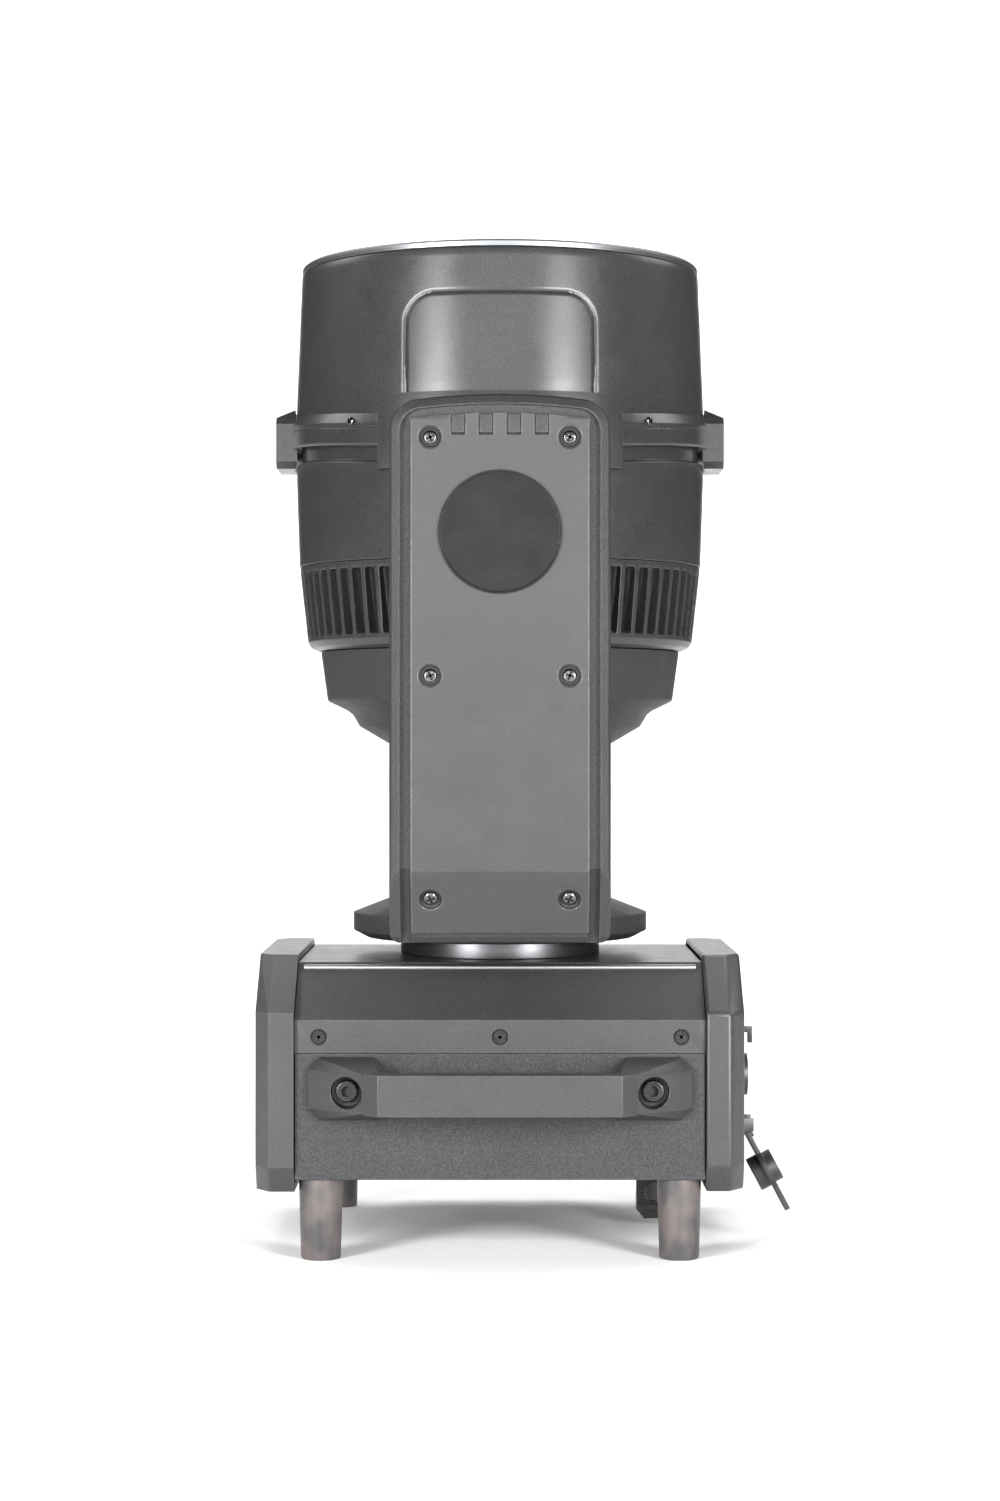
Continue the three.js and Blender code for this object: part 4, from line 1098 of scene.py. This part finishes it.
LENS = {"pitch": 42.0, "turn": math.pi / 6, "rim": 19.5, "dome": 5.0, "seat": 3.0, "steps": 12}
LENS_PLATE = {"thick": 4.0, "round": 0.6}
CHIP = {"half_width": 3.4, "sunk": 0.1, "height": 1.2}


def lens_places():
    """Nineteen places in a hexagon, in millimetres from the head's axis."""
    made = []
    c, s = math.cos(LENS["turn"]), math.sin(LENS["turn"])
    for q in range(-2, 3):
        for r in range(-2, 3):
            if abs(q + r) <= 2:
                across = LENS["pitch"] * (q + r / 2)
                along = LENS["pitch"] * r * math.sqrt(3) / 2
                made.append((across * c - along * s, across * s + along * c))
    return made


def lens_plate():
    low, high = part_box("zoom_lens_plate")
    face = low[2] + LENS_PLATE["thick"] * MM
    profile = [(0, low[2]), (high[0], low[2]), (high[0], face), (0, face)]
    profile = fillet(profile, LENS_PLATE["round"] * MM, 3)
    plate = turned("lens_plate_disc", profile, PLASTIC, 144, closed=False)
    settle(plate, "zoom_lens_plate")
    rim, rise, top = LENS["rim"] * MM, LENS["dome"] * MM, high[2]
    seat = low[2] + LENS["seat"] * MM
    turns = [QUARTER * k / LENS["steps"] for k in range(LENS["steps"] + 1)]
    dome = [(rim * math.sin(t), top - rise + rise * math.cos(t)) for t in turns]
    section = [(0, seat), (rim, seat)] + list(reversed(dome[1:])) + [(0, top)]
    lenses = []
    for x, y in lens_places():
        centre = (x * MM, y * MM)
        lenses.append(turned("lens", section, MATERIALS["lens_plastic"], 48, False, centre))
    attach(merged("zoom_lenses", lenses), "zoom_lens_plate")


def led_chips():
    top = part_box("led_board")[1][2]
    half = CHIP["half_width"] * MM
    low, high = top - CHIP["sunk"] * MM, top + CHIP["height"] * MM
    square = ((-half, -half), (half, -half), (half, half), (-half, half))
    chips = []
    for x, y in lens_places():
        outline = [(x * MM + u, y * MM + v) for u, v in square]
        chip = prism("chip", outline, low, high, "z", MATERIALS["aluminium"])
        chips.append(bevel(chip, 0.0003, 2))
    attach(merged("led_chips", chips), "led_board")


hood()
bezel_and_glass()
collar()
lower_shell()
vent_ring()
rear_cover()
lens_plate()
led_chips()


# ---- What is left of the frame keeps its own shape and takes the same finishes ----

for name, node in frame["nodes"].items():
    node.data.materials.clear()
    node.data.materials.append(MATERIALS[SLOT_OF[name]])
for name in ("pan_spindle", "pan_pulley", "tilt_pulley", "zoom_screw", "zoom_guide_rod"):
    smooth(frame["nodes"][name], 35.0)


# ---- Studio ----

CAMERA = {"place": (0.0, -1.95, 0.265), "lens": 108.0, "shift_y": -0.0055}
WORLD_GREY = 0.06
LIGHTS = (  # name, place, aims at, width, height, power
    ("left softbox", (-0.93, -1.38, 0.42), (0, 0, 0.36), 0.42, 0.76, 43.0),
    ("right softbox", (0.93, -1.38, 0.42), (0, 0, 0.36), 0.42, 0.76, 43.0),
    ("front fill", (0.0, -2.9, 0.85), (0, 0, 0.35), 1.7, 1.1, 26.0),
    ("left overhead", (-1.9, 0.5, 1.7), (0, 0.2, -0.05), 1.0, 1.0, 16.0),
    ("right overhead", (1.9, 0.5, 1.7), (0, 0.2, -0.05), 1.0, 1.0, 16.0),
    ("rear overhead", (0.0, 1.3, 2.2), (0, 1.0, -0.05), 1.6, 0.8, 26.0),
    ("backdrop light", (0.0, 1.2, 2.4), (0, 2.8, 0.6), 2.0, 0.8, 50.0),
)
SWEEP = {"half_width": 0.85, "start": 2.0, "bend": 0.6, "rise": 3.0, "lift": 0.0005, "steps": 16}
FLOOR_REACH = 3.2


def paper():
    mix = Recipe("studio_paper")
    fibre = mix.noise(3.0, 6.0)
    tone = mix.blend(mix.spread(fibre, 0.0, 1.0), (0.88, 0.88, 0.88), (0.92, 0.92, 0.92))
    return mix.done(tone, mix.spread(fibre, 0.8, 0.95), mix.bump(fibre, 0.0001, 0.2), Specular_IOR_Level=0.1)


def backdrop(floor_z):
    """A wide floor, and a narrower sheet of paper that rises from it behind the object."""
    material = paper()
    bm = bmesh.new()
    reach = FLOOR_REACH
    square = ((-reach, -reach), (reach, -reach), (reach, reach), (-reach, reach))
    bm.faces.new([bm.verts.new((x, y, floor_z)) for x, y in square])
    floor = from_bmesh("studio_floor", bm, material)
    bm = bmesh.new()
    bend = SWEEP["bend"]
    turns = [QUARTER * k / SWEEP["steps"] for k in range(SWEEP["steps"] + 1)]
    rows = [(SWEEP["start"] + bend * math.sin(t), bend * (1 - math.cos(t))) for t in turns]
    rows.append((SWEEP["start"] + bend, SWEEP["rise"]))
    half = SWEEP["half_width"]
    base = floor_z + SWEEP["lift"]
    lines = [[bm.verts.new((x, y, base + z)) for x in (-half, half)] for y, z in rows]
    for low, high in zip(lines, lines[1:]):
        bm.faces.new((low[0], low[1], high[1], high[0]))
    sweep = smooth(from_bmesh("studio_sweep", bm, material))
    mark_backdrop(floor, sweep)


def world():
    made = bpy.data.worlds.new("studio")
    made.use_nodes = True
    inputs = made.node_tree.nodes["Background"].inputs
    inputs["Color"].default_value = (1.0, 1.0, 1.0, 1.0)
    inputs["Strength"].default_value = WORLD_GREY
    bpy.context.scene.world = made


def lamp(name, place, aim, width, height, power):
    light = bpy.data.lights.new(name, "AREA")
    light.shape = "RECTANGLE"
    light.size = width
    light.size_y = height
    light.energy = power
    made = bpy.data.objects.new(name, light)
    made.location = place
    made.rotation_euler = (Vector(aim) - Vector(place)).to_track_quat("-Z", "Y").to_euler()
    bpy.context.scene.collection.objects.link(made)


def camera():
    scene = bpy.context.scene
    data = bpy.data.cameras.new("camera")
    data.sensor_fit = "HORIZONTAL"
    data.sensor_width = 36.0
    data.lens = CAMERA["lens"]
    data.shift_y = CAMERA["shift_y"]
    made = bpy.data.objects.new("camera", data)
    made.location = CAMERA["place"]
    made.rotation_euler = (QUARTER, 0, 0)
    scene.collection.objects.link(made)
    scene.camera = made
    scene.view_settings.view_transform = "Standard"


world()
for setting in LIGHTS:
    lamp(*setting)
backdrop(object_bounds()[0][2])
camera()
